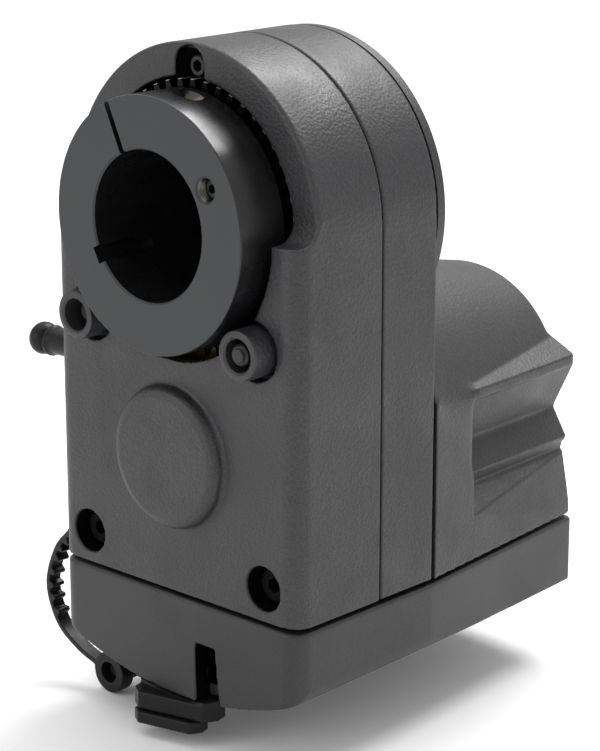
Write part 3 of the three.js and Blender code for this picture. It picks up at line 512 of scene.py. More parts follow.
CASTING = powder_coat("casting_powder_coat", (0.0195, 0.0195, 0.0215))
# Near-black painted shade for the insides of the counterbores, the screw notch, the round opening and the
# base's front slot.
RECESS_PAINTED_SHADE = powder_coat("casting_recess_painted_shade", (0.0012, 0.0012, 0.0012), rough=(0.8, 0.95), specular=0.04)
BASE_PLASTIC = moulded_plastic("base_plastic", (0.0135, 0.0135, 0.0145))
COLLAR_FACE = turned_metal("collar_faced_end", (0.032, 0.033, 0.035), 0.5, 0.2)
COLLAR_BLACK = turned_metal("collar_anodised", (0.008, 0.008, 0.009), 0.27, 0.1)
BARE_THREAD = turned_metal("bare_thread", (0.11, 0.105, 0.09), 0.25, 1.0)
BLACK_STEEL = turned_metal("black_oxide_steel", (0.03, 0.03, 0.032), 0.32, 0.6)
# Painted glints: bright colour on the ring gear's tooth tips beyond the glint radius.
GEAR_STEEL = gear_with_painted_glints("blackened_gear_painted_glints", (0.004, 0.004, 0.004), (0.5, 0.48, 0.4), GEAR_GLINT_R)
# Case screw heads deep in the counterbores: black-oxide steel darkened far past its own tone with painted
# shade.
SUNK_SCREW_PAINTED_SHADE = powder_coat("sunk_screw_painted_shade", (0.002, 0.002, 0.002), rough=(0.6, 0.7), specular=0.1)
BRASS = turned_metal("machined_brass", (0.12, 0.085, 0.03), 0.35, 1.0)
BRONZE = turned_metal("sintered_bronze", (0.2, 0.13, 0.06), 0.5, 1.0)
MOTOR_STEEL = turned_metal("plated_can", (0.3, 0.3, 0.31), 0.3, 1.0)
SOCKET_BLACK = moulded_plastic("socket_black", (0.012, 0.012, 0.013), (0.25, 0.35))
BOARD_GREEN = moulded_plastic("board_solder_mask", (0.02, 0.14, 0.06), (0.25, 0.4))
STRAP_RUBBER = rubber("strap_rubber", (0.0045, 0.0045, 0.005))

SLOT_MATERIAL = {
    "casting": CASTING,
    "base_plastic": BASE_PLASTIC,
    "collar_black": COLLAR_BLACK,
    "black_steel": BLACK_STEEL,
    "gear_steel": GEAR_STEEL,
    "brass": BRASS,
    "bronze": BRONZE,
    "motor_steel": MOTOR_STEEL,
    "jack_black": SOCKET_BLACK,
    "board_green": BOARD_GREEN,
    "rubber": STRAP_RUBBER,
}


# ---------- camera, lights and floor ----------
def camera():
    data = bpy.data.cameras.new("camera")
    data.lens = 117.5
    data.sensor_width = 36.0
    data.clip_start = 0.01
    data.clip_end = 20.0
    obj = bpy.data.objects.new("camera", data)
    target = Vector((30.38, 0.0, -20.91)) * MM
    azimuth = math.radians(43.25)
    elevation = math.radians(15.87)
    distance = 398.1 * MM
    back = Vector((
        math.sin(azimuth) * math.cos(elevation),
        -math.cos(azimuth) * math.cos(elevation),
        math.sin(elevation),
    ))
    obj.location = target + back * distance
    obj.rotation_euler = (-back).to_track_quat("-Z", "Y").to_euler()
    bpy.context.scene.collection.objects.link(obj)
    bpy.context.scene.camera = obj


def softbox(name, place, aim, size, power, colour=(1, 1, 1)):
    data = bpy.data.lights.new(name, "AREA")
    data.shape = "RECTANGLE"
    data.size, data.size_y = size
    data.energy = power
    data.color = colour
    obj = bpy.data.objects.new(name, data)
    obj.location = Vector(place)
    obj.rotation_euler = (Vector(aim) - Vector(place)).to_track_quat("-Z", "Y").to_euler()
    bpy.context.scene.collection.objects.link(obj)


def studio():
    world = bpy.data.worlds.new("studio")
    world.use_nodes = True
    world.node_tree.nodes["Background"].inputs["Color"].default_value = (1, 1, 1, 1)
    world.node_tree.nodes["Background"].inputs["Strength"].default_value = 0.75
    bpy.context.scene.world = world
    overhead = bpy.data.lights.new("overhead", "SUN")
    overhead.energy = 1.0
    overhead.angle = math.radians(70)
    sun = bpy.data.objects.new("overhead", overhead)
    sun.rotation_euler = (math.radians(-6), math.radians(-10), 0)
    bpy.context.scene.collection.objects.link(sun)
    middle = (0, 0.03, -0.03)
    softbox("rear_top_softbox", (-0.02, 0.5, 0.6), middle, (0.5, 0.3), 5)
    softbox("side_softbox", (0.8, -0.05, 0.45), middle, (0.22, 0.3), 0.4)
    softbox("front_softbox", (-0.3, -0.8, 0.3), middle, (0.5, 0.5), 1.6)
    floor_z = cad_bounds[0].z - FLOOR_GAP * MM
    bm = bmesh.new()
    for x, y in ((-1, -1), (1, -1), (1, 1), (-1, 1)):
        bm.verts.new((x * FLOOR_REACH, y * FLOOR_REACH, floor_z))
    bm.faces.new(bm.verts)
    mesh = bpy.data.meshes.new("floor")
    bm.to_mesh(mesh)
    bm.free()
    floor = bpy.data.objects.new("floor", mesh)
    bpy.context.scene.collection.objects.link(floor)
    floor.data.materials.append(shader("pale_floor", (0.93, 0.93, 0.93), 0.6)[0])
    bpy.context.scene.view_settings.view_transform = "Standard"


# ---------- housings ----------
def case_screw_places():
    return [centre_of(node) for node in ("left_case_screw", "right_case_screw")]


def sleeve_places():
    return [centre_of(node) for node in ("left_screw_sleeve", "right_screw_sleeve")]


def front_plan(half, front, back, radius):
    left = arc(-half + radius, front + radius, radius, 180, 270, 12)
    right = arc(half - radius, front + radius, radius, 270, 360, 12)
    return [(-half, back)] + left + right + [(half, back)]


def shoulder_fillet():
    """The concave rise from the lower plate's shoulders to the arch face."""
    radius = 4.0
    start = ARCH_Y - radius
    curve = arc(start, SHOULDER_Z + radius, radius, 270, 360, 16)
    below = [(ARCH_Y + PAST, SHOULDER_Z - PAST), (start, SHOULDER_Z - PAST)]
    outline = below + curve + [(ARCH_Y + PAST, SHOULDER_Z + radius)]
    return prism("fillet", outline, -HALF, HALF, "X")


def bearing_boss():
    rise = -BOSS_FRONT_Y
    profile = [(0, -rise), (BOSS_R - 1.6, -rise), (BOSS_R - 0.5, -rise + 0.35), (BOSS_R, -rise + 1.1)]
    profile += [(BOSS_R + 0.3, 0.2), (BOSS_R + 0.3, 1.0), (0, 1.0)]
    return turned("boss", profile, 0, SHAFT_Z, 192)


def opening_outline(radius, top):
    return [(radius, top), (-radius, top)] + arc(0, 0, radius, 180, 360, 96)


def notch_outline(top):
    low = OPENING_R - 4
    return [(-NOTCH_HALF, low), (NOTCH_HALF, low)] + arc(0, top, NOTCH_HALF, 0, 180, 24)


def paint_shade_on(obj, material, inside):
    """Paints shade on the faces whose centre (in mm) is inside a recess: they take the given near-black
    material in place of the shade that falls there.
    """
    obj.data.materials.append(material)
    slot = len(obj.data.materials) - 1
    for face in obj.data.polygons:
        if inside(face.center / MM, face.normal):
            face.material_index = slot


def front_recesses():
    """A test for the insides of the front casting's counterbores, screw notch and round opening, which get
    painted shade.
    """
    screws = case_screw_places()
    notch_top = centre_of("upper_mount_screw").z + 3

    def inside(point, normal):
        if 0.35 < point.y < COUNTERBORE_FLOOR_Y + 1:
            if any(math.hypot(point.x - p.x, point.z - p.z) < COUNTERBORE_R + 0.2 for p in screws):
                return True
        if not ARCH_Y + 0.3 < point.y < FRONT_BACK_Y:
            return False
        in_notch = abs(point.x) < 3.6 and OPENING_R - 2 < point.z < notch_top
        return in_notch or math.hypot(point.x, point.z) < OPENING_R + 0.2

    return inside


def front_housing():
    full = arch_outline(HALF, HOUSING_LOW_Z)
    inner_rim = arch_outline(HALF - RIM_CHAMFER, HOUSING_LOW_Z)
    body = chamfered_prism("front_casting", full, inner_rim, ARCH_Y, FRONT_BACK_Y, RIM_CHAMFER)
    plate = block("plate", (-HALF, 0, HOUSING_LOW_Z), (HALF, ARCH_Y + 1, SHOULDER_Z))
    join(plate, [shoulder_fillet()])
    plan = prism("plan", front_plan(HALF, 0, FRONT_BACK_Y + 1, EDGE_R), HOUSING_LOW_Z - 1, 20, "Z")
    keep_inside(plate, [plan])
    join(body, [plate, bearing_boss()])
    inner = HALF - WALL
    upper = prism("upper_hollow", arch_outline(inner, HOUSING_LOW_Z - 2), ARCH_Y + WALL, FRONT_BACK_Y + 2)
    far = (inner, FRONT_BACK_Y + 2, SHOULDER_Z - WALL)
    lower = block("lower_hollow", (-inner, WALL, HOUSING_LOW_Z - 2), far)
    cut(body, [upper, lower])
    case_screws = case_screw_places()
    sleeves = sleeve_places()
    posts = [cylinder("post", CASE_POST_R, 1, FRONT_BACK_Y - 2, p.x, p.z) for p in case_screws]
    webs = [cylinder("web", SLEEVE_WEB_R, 1, 5.4, p.x, p.z) for p in sleeves]
    join(body, posts + webs)
    upper_screw = centre_of("upper_mount_screw")
    notch = notch_outline(upper_screw.z + SCREW_NOTCH_TOP)
    holes = [
        prism("u_opening", opening_outline(OPENING_R, 0), -PAST, ARCH_Y + 0.2),
        cylinder("round_opening", OPENING_R, -PAST, ARCH_Y + WALL + 2, 0, 0, 192),
        prism("notch", notch, ARCH_Y - PAST, ARCH_Y + WALL - 0.8),
        cylinder("screw_way", UPPER_SCREW_WAY_R, ARCH_Y, FRONT_BACK_Y + 2, upper_screw.x, upper_screw.z),
    ]
    holes += [cylinder("pocket", SLEEVE_POCKET_R, -PAST, SLEEVE_POCKET_BACK_Y, p.x, p.z) for p in sleeves]
    holes += [cylinder("seat", SLEEVE_SEAT_R, -PAST, SLEEVE_SEAT_BACK_Y, p.x, p.z) for p in sleeves]
    for p in case_screws:
        holes.append(cylinder("counterbore", COUNTERBORE_R, -PAST, COUNTERBORE_FLOOR_Y, p.x, p.z))
    holes += [cylinder("clearance", CASE_SCREW_WAY_R, 0, FRONT_BACK_Y, p.x, p.z, 24) for p in case_screws]
    holes.append(cylinder("bearing_seat", BEARING_SEAT_R, 0.3, WALL + PAST, 0, SHAFT_Z))
    cut(body, holes)
    soften(body, voxel=0.3, smoothing=3, faces=70000)
    finished(body, CASTING, "root", "casting", "front_housing")
    # Painted shade: near-black on the insides of the counterbores, the screw notch and the round opening.
    paint_shade_on(body, RECESS_PAINTED_SHADE, front_recesses())


def back_webs():
    """A web in each lower back corner, which closes the gap between the round cover and the motor's top."""
    outer = HALF - WALL / 2
    body = block("webs", (-outer, MIDDLE_BACK_Y - WEB_THICKNESS, SHAFT_Z), (outer, MIDDLE_BACK_Y, 0))
    front, back = MIDDLE_BACK_Y - 6, MIDDLE_BACK_Y + PAST
    disc_way = cylinder("disc_way", HALF - WEB_LAP, front, back, 0, 0, 192)
    inside = DOME_FRONT_R - WALL
    motor_way = dome("motor_way", inside, inside, front, back)
    heads = [cylinder("head_way", SCREW_HEAD_WAY_R, front, back, p.x, p.z) for p in sleeve_places()]
    return cut(body, [disc_way, motor_way] + heads)


def middle_housing():
    body = prism("middle_casting", arch_outline(HALF, HOUSING_LOW_Z), MIDDLE_FRONT_Y, MIDDLE_BACK_Y)
    inner = arch_outline(HALF - WALL, HOUSING_LOW_Z - 2)
    hollow = prism("hollow", inner, MIDDLE_FRONT_Y + 3, MIDDLE_BACK_Y + 2)
    holes = [
        hollow,
        cylinder("bushing_seat", BUSHING_SEAT_R, MIDDLE_FRONT_Y - PAST, MIDDLE_BACK_Y),
        cylinder("gearbox_seat", GEARBOX_SEAT_R, MIDDLE_FRONT_Y - PAST, MIDDLE_BACK_Y, 0, SHAFT_Z),
    ]
    cut(body, holes)
    join(body, [back_webs()])
    soften(body, voxel=0.35, smoothing=3, faces=30000)
    finished(body, CASTING, "root", "casting", "middle_housing")


def side_at(y):
    return HALF + 0.1 - TAPER * (y - MIDDLE_BACK_Y)


def tapered_plan(front, back):
    wide = side_at(front)
    narrow = side_at(back)
    corner = REAR_CORNER_R
    right = arc(narrow - corner, back - corner, corner, 0, 90, 12)
    left = arc(corner - narrow, back - corner, corner, 90, 180, 12)
    return [(-wide, front), (wide, front)] + right + left


def shoulder_prism():
    """The housing's section below its round top: shoulders that slope down to a ridge on each side."""
    wide = SHOULDER_REACH_X
    crest_z = CREST_MEASURE[1] + math.tan(SHOULDER_SLOPE) * (CREST_MEASURE[0] - CREST_X)
    edge_z = crest_z - math.tan(SHOULDER_SLOPE) * (wide - CREST_X)
    low = HOUSING_LOW_Z - 6
    top = [(wide, edge_z), (CREST_X, crest_z), (-CREST_X, crest_z), (-wide, edge_z)]
    outline = [(-wide, low), (wide, low)] + top
    obj = prism("shoulders", outline, -65, 25)
    pivot = Matrix.Translation(Vector((0, 0, SHAFT_Z)) * MM)
    turn = Matrix.Rotation(-SHOULDER_TILT, 4, "X")
    obj.data.transform(Matrix.Translation(Vector((0, 79, 0)) * MM) @ pivot @ turn @ pivot.inverted())
    return obj


def dome(name, front_r, back_r, front, back, edge=0.0):
    """The tapered round top over the motor, a little wider than it is high; edge rounds its far rim."""
    slope = (front_r - back_r) / (back - front)
    profile = [(0, front), (front_r, front)]
    if edge:
        for step in range(11):
            turn = math.radians(9 * step)
            radius = back_r - edge + edge * math.cos(turn) + slope * edge * (1 - math.sin(turn))
            profile.append((radius, back - edge + edge * math.sin(turn)))
    else:
        profile.append((back_r, back))
    profile.append((0, back))
    obj = turned(name, profile, 0, 0, 256)
    obj.data.transform(Matrix.Diagonal((DOME_WIDEN, 1, 1, 1)))
    obj.data.transform(Matrix.Translation(Vector((0, 0, SHAFT_Z - DOME_DROP)) * MM))
    return obj


def scoop(side):
    """The finger scoop in one side wall, which follows the wall part of the way in towards the back."""
    points = [
        (36, -35.0), (28.6, -35.2), (26.4, -36.7), (22.3, -45.6),
        (23.3, -51.4), (23.9, -53.9), (28.4, -57.8), (36, -64),
    ]
    outline = rounded(points, (0, 1.4, 1.0, 0.8, 3.0, 1.2, 1.2, 0))
    if side < 0:
        outline = [(-x, z) for x, z in reversed(outline)]
    length = MOTOR_BACK_Y + 5 - SCOOP_FRONT_Y
    obj = prism("scoop", outline, 0, length)
    shear = Matrix.Identity(4)
    shear[0][1] = -side * SCOOP_TAPER
    obj.data.transform(Matrix.Translation(Vector((0, SCOOP_FRONT_Y, 0)) * MM) @ shear)
    return obj


def facet(side):
    """What the leaning facet under a scoop takes off, widening from the scoop's lower front corner back."""
    start = Vector((side * FACET_START[0], SCOOP_FRONT_Y, FACET_START[1]))
    low = Vector((side * FACET_LOW[0], MOTOR_BACK_Y, FACET_LOW[1]))
    high = Vector((side * FACET_HIGH[0], MOTOR_BACK_Y, FACET_HIGH[1]))
    out = (low - start).cross(high - start).normalized() * side
    obj = block("facet", (0, -50, -30), (20, 50, 30))
    turn = AXIS_X.rotation_difference(out).to_matrix().to_4x4()
    obj.data.transform(Matrix.Translation(start * MM) @ turn)
    return keep_inside(obj, [block("reach", (-50, SCOOP_FRONT_Y, -75), (50, MOTOR_BACK_Y + 5, -52))])


def front_of_scoop(point):
    """High over the stretch of wall in front of the scoop, where the round top flows into the side."""
    low_z, high_z, fade_z = -50, -20, 6
    if point.y > SCOOP_FRONT_Y + 1 or abs(point.x) < 22 or not low_z < point.z < high_z:
        return 0.0
    along = min(1.0, (SCOOP_FRONT_Y + 1 - point.y) / 4, (point.y - MOTOR_FRONT_Y - 0.6) / 2)
    up = min(1.0, (point.z - low_z) / fade_z, (high_z - point.z) / fade_z)
    return max(0.0, min(along, up))


def motor_housing():
    plan = tapered_plan(MOTOR_FRONT_Y, MOTOR_BACK_Y)
    body = prism("motor_casting", plan, HOUSING_LOW_Z, -25, "Z")
    keep_inside(body, [shoulder_prism()])
    top = dome("dome", DOME_FRONT_R, DOME_BACK_R, MOTOR_FRONT_Y, MOTOR_BACK_Y, 1.8)
    keep_inside(top, [prism("top_plan", tapered_plan(MOTOR_FRONT_Y - 1, MOTOR_BACK_Y + 2), -90, 0, "Z")])
    join(body, [top])
    cut(body, [scoop(1), scoop(-1), facet(1), facet(-1)])
    hollow_back = MOTOR_BACK_Y - WALL
    narrow = DOME_BACK_R - WALL - 1.5
    hollow = dome("hollow_dome", DOME_FRONT_R - WALL, narrow, MOTOR_FRONT_Y - 3, hollow_back)
    low_hollow = block(
        "low_hollow",
        (-LOW_HOLLOW_HALF, MOTOR_FRONT_Y - 4, HOUSING_LOW_Z - 5),
        (LOW_HOLLOW_HALF, hollow_back - 0.5, LOW_HOLLOW_TOP_Z),
    )
    spans = ((-40, -SCOOP_WALL_X), (SCOOP_WALL_X, 40))
    cut(hollow, [block("wall", (low, 0, -80), (high, 95, SCOOP_WALL_TOP_Z)) for low, high in spans])
    join(hollow, [low_hollow])
    cut(body, [hollow])
    cover_room = cylinder("cover_room", HALF + 0.4, MOTOR_FRONT_Y - 3, COVER_BACK_Y + 0.3, 0, 0, 192)
    keep_inside(cover_room, [block("above", (-40, 0, -20), (40, 50, 40))])
    cut(body, [cover_room])
    soften(body, voxel=0.3, smoothing=4, faces=60000, blend=front_of_scoop, blend_steps=400)
    finished(body, CASTING, "root", "casting", "motor_housing")


def back_cover():
    rim = COVER_RIM_R
    radius = high_of("back_cover").z
    profile = [(0, COVER_FRONT_Y), (radius, COVER_FRONT_Y), (radius, COVER_BACK_Y - rim)]
    profile += arc(radius - rim, COVER_BACK_Y - rim, rim, 0, 90, 5)[1:]
    profile += [(radius - 3.2, COVER_BACK_Y), (radius - 3.6, COVER_BACK_Y - 0.35), (0, COVER_BACK_Y - 0.35)]
    body = turned("rear_cover", profile, 0, 0, 192)
    wide = DOME_FRONT_R + COVER_GAP
    room = dome("room", wide, DOME_BACK_R + COVER_GAP, MOTOR_FRONT_Y, MOTOR_BACK_Y)
    join(room, [dome("room_front", wide, wide, MIDDLE_BACK_Y - 1, MOTOR_FRONT_Y + 0.1)])
    cut(body, [room, block("under", (-40, 0, -60), (40, 50, low_of("back_cover").z))])
    shade(body, 35)
    finished(body, CASTING, "root", "casting", "back_cover")


# ---------- base ----------
def base_section(inset):
    half = HALF - inset
    low = BASE_LOW_Z + inset
    radius = BASE_ARC_R - inset
    centre_z = low + radius
    corner_x = half - 3
    corner_z = centre_z - math.sqrt(radius ** 2 - corner_x ** 2)
    angle = math.degrees(math.asin(corner_x / radius))
    floor = arc(0, centre_z, radius, 270 - angle, 270 + angle, 48)
    right = arc(half - 3.2, corner_z + 3.4, 3.2, -75, 0, 8)
    left = [(-x, z) for x, z in reversed(right)]
    top = BASE_TOP_Z + 6
    return [(-half, top)] + left + floor + right + [(half, top)]


def base_plan(inset, corner):
    half = HALF - inset
    back = BASE_BACK_Y - inset
    narrow = side_at(BASE_BACK_Y) + 0.1 - inset
    front = inset
    left_front = arc(-half + EDGE_R, front + EDGE_R, EDGE_R, 180, 270, 12)
    right_front = arc(half - EDGE_R, front + EDGE_R, EDGE_R, 270, 360, 12)
    right_back = arc(narrow - corner, back - corner, corner, 0, 90, 12)
    left_back = arc(corner - narrow, back - corner, corner, 90, 180, 12)
    seam = MIDDLE_BACK_Y
    return left_front + right_front + [(half, seam)] + right_back + left_back + [(-half, seam)]


def base_volume(inset, top, chamfer=0.0):
    plan = base_plan(inset, REAR_CORNER_R)
    if chamfer:
        rim = base_plan(inset + chamfer, REAR_CORNER_R)
        body = chamfered_prism("base_form", plan, rim, -top, 100, chamfer, "Z")
        body.data.transform(Matrix.Scale(-1, 4, (0, 0, 1)))
        body.data.flip_normals()
    else:
        body = prism("base_form", plan, -100, top, "Z")
    section = prism("base_section", base_section(inset), -6, 95)
    section.data.transform(Matrix.Rotation(math.atan(BASE_RISE / BASE_BACK_Y), 4, "X"))
    return keep_inside(body, [section])


SLOT_OUTLINE = [(5.0, -74.6), (9.9, -74.6), (10.6, -82), (11.2, -85.0), (12.2, -87.5), (5.0, -90)]
# Bounds of the painted shade in and behind the base's front slot.
SLOT_DARK_X = (4.4, 12)
SLOT_DARK_Y = (0.3, 40)
SLOT_DARK_TOP_Z = -74.2


def in_front_slot(point, normal):
    """The slot's own walls, and everything behind it that shows through; these faces get painted shade."""
    across = SLOT_DARK_X[0] < point.x < SLOT_DARK_X[1]
    deep = SLOT_DARK_Y[0] < point.y < SLOT_DARK_Y[1]
    return across and deep and point.z < SLOT_DARK_TOP_Z and normal.y > -0.9 and normal.z > -0.5


def base_shell():
    body = base_volume(0, BASE_TOP_Z, RIM_CHAMFER)
    body.name = "base_moulding"
    tools = [base_volume(WALL, BASE_TOP_Z + 2)]
    tools.append(prism("slot", SLOT_OUTLINE, -1, WALL + 1))
    gap = 0.3
    for node in ("handset_jack", "usb_jack"):
        low, high = low_of(node), high_of(node)
        near, far = (low.x - 6, low.y - gap, low.z - gap), (high.x, high.y + gap, high.z + gap)
        tools.append(block("jack_way", near, far))
    for node in ("left_base_screw", "right_base_screw"):
        place = centre_of(node)
        tools.append(upright("screw_way", 1.7, -100, -60, place.x, place.y))
        tools.append(upright("head_seat", SCREW_HEAD_WAY_R, -100, low_of(node).z + 1.7, place.x, place.y))
    tools.append(block("neck_way", (-3.8, 4.2, -99), (3.8, 11.8, -81)))
    cut(body, tools)
    soften(body, voxel=0.26, smoothing=5, faces=60000)
    finished(body, BASE_PLASTIC, "root", "base_plastic", "base_shell")
    # Painted shade: near-black on the slot's walls and on what shows through it.
    paint_shade_on(body, RECESS_PAINTED_SHADE, in_front_slot)


# ---------- collar ----------
THREAD_DEPTH = 0.22
SLIT_LEAN = math.radians(25)
SLIT_HALF = 0.55
SLIT_BACK_Y = 3.4
HUB_R = 17.0
RING_SEAT_R = 18.6
KEYWAY_TURN = math.radians(-119)
KEYWAY_HALF = 1.5
KEYWAY_BACK_Y = 5.5
COLLAR_FACE_SLOT = 1
BARE_THREAD_SLOT = 2


def thread_profile(radius, start, end, pitch, crest=THREAD_DEPTH):
    """Points of (radius, distance) that zigzag between a thread's crest and its root."""
    count = int((end - start) / pitch)
    points = []
    for i in range(count):
        at = start + i * pitch
        points += [(radius, at), (radius - crest, at + pitch * 0.5)]
    return points + [(radius, start + count * pitch)]


def leaned(obj, angle):
    """Turns a piece about the collar's axis; a positive angle leans its top to the left."""
    obj.data.transform(Matrix.Rotation(-angle, 4, "Y"))
    return obj


def threaded_tool(name, radius, start, end, pitch, chamfer=0.35):
    """A cutter that leaves a threaded hole with a countersunk mouth at its start."""
    profile = [(0, start - 3), (radius + chamfer + 3, start - 3), (radius, start + chamfer)]
    profile += thread_profile(radius, start + chamfer, end, pitch) + [(0, end)]
    return turned(name, profile, 0, 0, 64)


def face_hole():
    place = centre_of("collar_face_screw")
    tool = threaded_tool("face_hole", 2.0, COLLAR_FRONT_Y, 2, 0.62)
    tool.data.transform(Matrix.Translation(Vector((place.x, 0, place.z)) * MM))
    return tool


def clamp_place():
    """The clamp screw's middle, and how far its line passes from the collar's axis."""
    place = centre_of("collar_clamp_screw")
    return place, math.hypot(place.x, place.z) * math.cos(math.atan2(place.x, place.z) + SLIT_LEAN)


def clamp_hole():
    """The clamp screw's hole, square to the slit, which breaks out through the collar's round outside."""
    place, line = clamp_place()
    inner, outer = 2.4, 16
    thread = thread_profile(2.15, inner, outer, M4_PITCH, 0.3)
    tool = turned("clamp_hole", [(0, inner)] + thread + [(0, outer)], 0, 0, 64)
    tool.data.transform(Matrix.Rotation(math.radians(-90), 4, "Z"))
    tool.data.transform(Matrix.Translation(Vector((0, place.y, line)) * MM))
    return leaned(tool, SLIT_LEAN)


def keyway():
    """A keyway with a rounded end, cut into the wall of the bore."""
    body = block("keyway", (-KEYWAY_HALF, COLLAR_FRONT_Y - 1, 9), (KEYWAY_HALF, KEYWAY_BACK_Y, BORE_R + 1.3))
    end = upright("keyway_end", KEYWAY_HALF, 9, BORE_R + 1.3, 0, KEYWAY_BACK_Y)
    join(body, [end])
    return leaned(body, -KEYWAY_TURN)


def drive_collar():
    groove = 0.07
    gear_back_y = high_of("ring_gear").y
    profile = [
        (BORE_R + 0.3, COLLAR_FRONT_Y), (COLLAR_R - 0.35, COLLAR_FRONT_Y),
        (COLLAR_R - 0.1, COLLAR_FRONT_Y + 0.1), (COLLAR_R, COLLAR_FRONT_Y + 0.35),
        (COLLAR_R, GEAR_FRONT_Y - 0.9), (COLLAR_R - 0.6, GEAR_FRONT_Y - 0.3),
        (RING_SEAT_R, GEAR_FRONT_Y - 0.3), (RING_SEAT_R, gear_back_y), (HUB_R, gear_back_y),
        (HUB_R, COLLAR_BACK_Y), (BORE_R, COLLAR_BACK_Y),
    ]
    for at in (17.5, 9.0):
        profile += [(BORE_R, at + 0.3), (BORE_R + groove, at + 0.15), (BORE_R, at)]
    profile += [(BORE_R, COLLAR_FRONT_Y + 0.3), (BORE_R + 0.3, COLLAR_FRONT_Y)]
    body = turned("collar", profile, 0, 0, 256)
    slit = block("slit", (-SLIT_HALF, COLLAR_FRONT_Y - 1, 8), (SLIT_HALF, SLIT_BACK_Y, COLLAR_R + 2))
    cut(body, [leaned(slit, SLIT_LEAN), keyway(), face_hole(), clamp_hole()])
    shade(body, 28)
    finished(body, COLLAR_BLACK, "collar", "collar_black", "drive_collar")
    body.data.materials.append(COLLAR_FACE)
    body.data.materials.append(BARE_THREAD)
    face_screw = centre_of("collar_face_screw")
    clamp, clamp_line = clamp_place()
    for face in body.data.polygons:
        centre = face.center / MM
        radius = math.hypot(centre.x, centre.z)
        to_hole = math.hypot(centre.x - face_screw.x, centre.z - face_screw.z)
        if face.normal.y < -0.6 and centre.y < COLLAR_FRONT_Y + 0.3:
            face.material_index = COLLAR_FACE_SLOT
        elif to_hole < 2.35 and radius < COLLAR_R - 1 and centre.y > COLLAR_FRONT_Y + 0.05:
            face.material_index = BARE_THREAD_SLOT
        elif clamp_face(centre, radius, face.normal, clamp, clamp_line):
            face.material_index = BARE_THREAD_SLOT


def clamp_face(centre, radius, normal, place, line):
    """Whether a face belongs to the threaded wall of the clamp screw's hole."""
    along = centre.x * math.cos(SLIT_LEAN) + centre.z * math.sin(SLIT_LEAN)
    across = -centre.x * math.sin(SLIT_LEAN) + centre.z * math.cos(SLIT_LEAN)
    near = math.hypot(across - line, centre.y - place.y) < 2.3
    outward = Vector((centre.x, 0, centre.z)).normalized().dot(normal)
    return near and along > 2.5 and not (radius > COLLAR_R - 0.02 and outward > 0.97)


# ---------- screws and sleeves ----------
def screw_sleeve(node):
    place = centre_of(node)
    low, high = low_of(node), high_of(node)
    outer = (high.x - low.x) / 2
    bore = SLEEVE_BORE_R
    profile = [
        (bore + 0.35, low.y), (outer - 0.5, low.y), (outer - 0.12, low.y + 0.14), (outer, low.y + 0.55),
        (outer + 0.15, high.y), (bore, high.y),
    ]
    profile += list(reversed(thread_profile(bore, low.y + 0.45, high.y - 0.4, M4_PITCH, 0.0)))
    profile += [(bore, low.y + 0.3), (bore + 0.35, low.y)]
    body = turned(node + "_casting", profile, place.x, place.z, 96)
    shade(body, 40)
    finished(body, CASTING, "root", "casting", node)


def hexagon(radius, x, z):
    return arc(x, z, radius, 30, 330, 5)


def mount_screw(node, body_name, socketed):
    """An M4 socket screw from the back, whose threaded end shows at the front."""
    place = centre_of(node)
    front, back = low_of(node).y, high_of(node).y
    head_r = (high_of(node).x - low_of(node).x) / 2
    shank = M4_SHANK_R
    head_front = back - 3.8
    tip = [
        (0, front), (1.15, front), (1.3, front + 0.15), (1.3, front + 0.35), (1.55, front + 0.35),
        (shank, front + 0.7),
    ]
    if socketed:
        tip = [(0, front), (shank - 0.3, front), (shank, front + 0.3)]
    profile = tip + thread_profile(shank, front + 0.75, front + 16, M4_PITCH)
    profile += [(shank, head_front), (head_r - 0.2, head_front), (head_r, head_front + 0.2)]
    profile += [(head_r, back - 0.4), (head_r - 0.4, back), (0, back)]
    screw = turned(node + "_threaded", profile, place.x, place.z, 64)
    cuts = [prism("head_socket", hexagon(1.5, place.x, place.z), back - 2.2, back + 1)]
    if socketed:
        cuts.append(prism("tip_socket", hexagon(1.1, place.x, place.z), front - 1, front + 1.6))
    cut(screw, cuts)
    shade(screw, 30)
    finished(screw, BLACK_STEEL, body_name, "black_steel", node)


def set_screw(node, body_name):
    """A small socket set screw along Y, with its thread."""
    low, high = low_of(node), high_of(node)
    radius = (high.x - low.x) / 2
    place = centre_of(node)
    profile = [(0, low.y), (radius - 0.25, low.y)]
    profile += thread_profile(radius, low.y + 0.25, high.y - 0.2, M3_PITCH, 0.15)
    profile += [(radius - 0.25, high.y), (0, high.y)]
    screw = turned(node + "_threaded", profile, place.x, place.z, 48)
    cut(screw, [prism("socket", hexagon(0.85, place.x, place.z), low.y - 1, low.y + 1.6)])
    shade(screw, 30)
    finished(screw, BLACK_STEEL, body_name, "black_steel", node)


# ---------- strap, post and block ----------
STRAP_POINTS = [
    (-30.65, -54), (-30.75, -59), (-33.9, -64.4), (-38.3, -69.4),
    (-40.9, -77), (-38.4, -83.9), (-33.2, -87.6), (-27.4, -89.6),
]
STRAP_SAMPLES = 160
STRAP_HALF = 0.5
STRAP_TEETH = 9
STRAP_FIRST_TOOTH = 0.25
STRAP_LAST_TOOTH = 0.68
EYE = (-24.3, -90.4)
EYE_R = 3.9
EYE_HOLE_R = 2.0
PIN_FRONT_Y = 7.6
POST_BALL_R = 3.05


def strap_path(count):
    """Places and directions along a smooth curve through the strap's points."""
    points = [Vector(p) for p in STRAP_POINTS]
    ends = [points[0] * 2 - points[1]] + points + [points[-1] * 2 - points[-2]]
    samples = []
    for i in range(count + 1):
        run = i / count * (len(points) - 1)
        span = min(int(run), len(points) - 2)
        t = run - span
        a, b, c, d = ends[span:span + 4]
        square, cube = 2 * a - 5 * b + 4 * c - d, 3 * b - a - 3 * c + d
        samples.append(0.5 * (2 * b + (c - a) * t + square * t ** 2 + cube * t ** 3))
    frames = []
    for i, place in enumerate(samples):
        along = (samples[min(i + 1, count)] - samples[max(i - 1, 0)]).normalized()
        frames.append((place, along, Vector((-along.y, along.x))))
    return frames


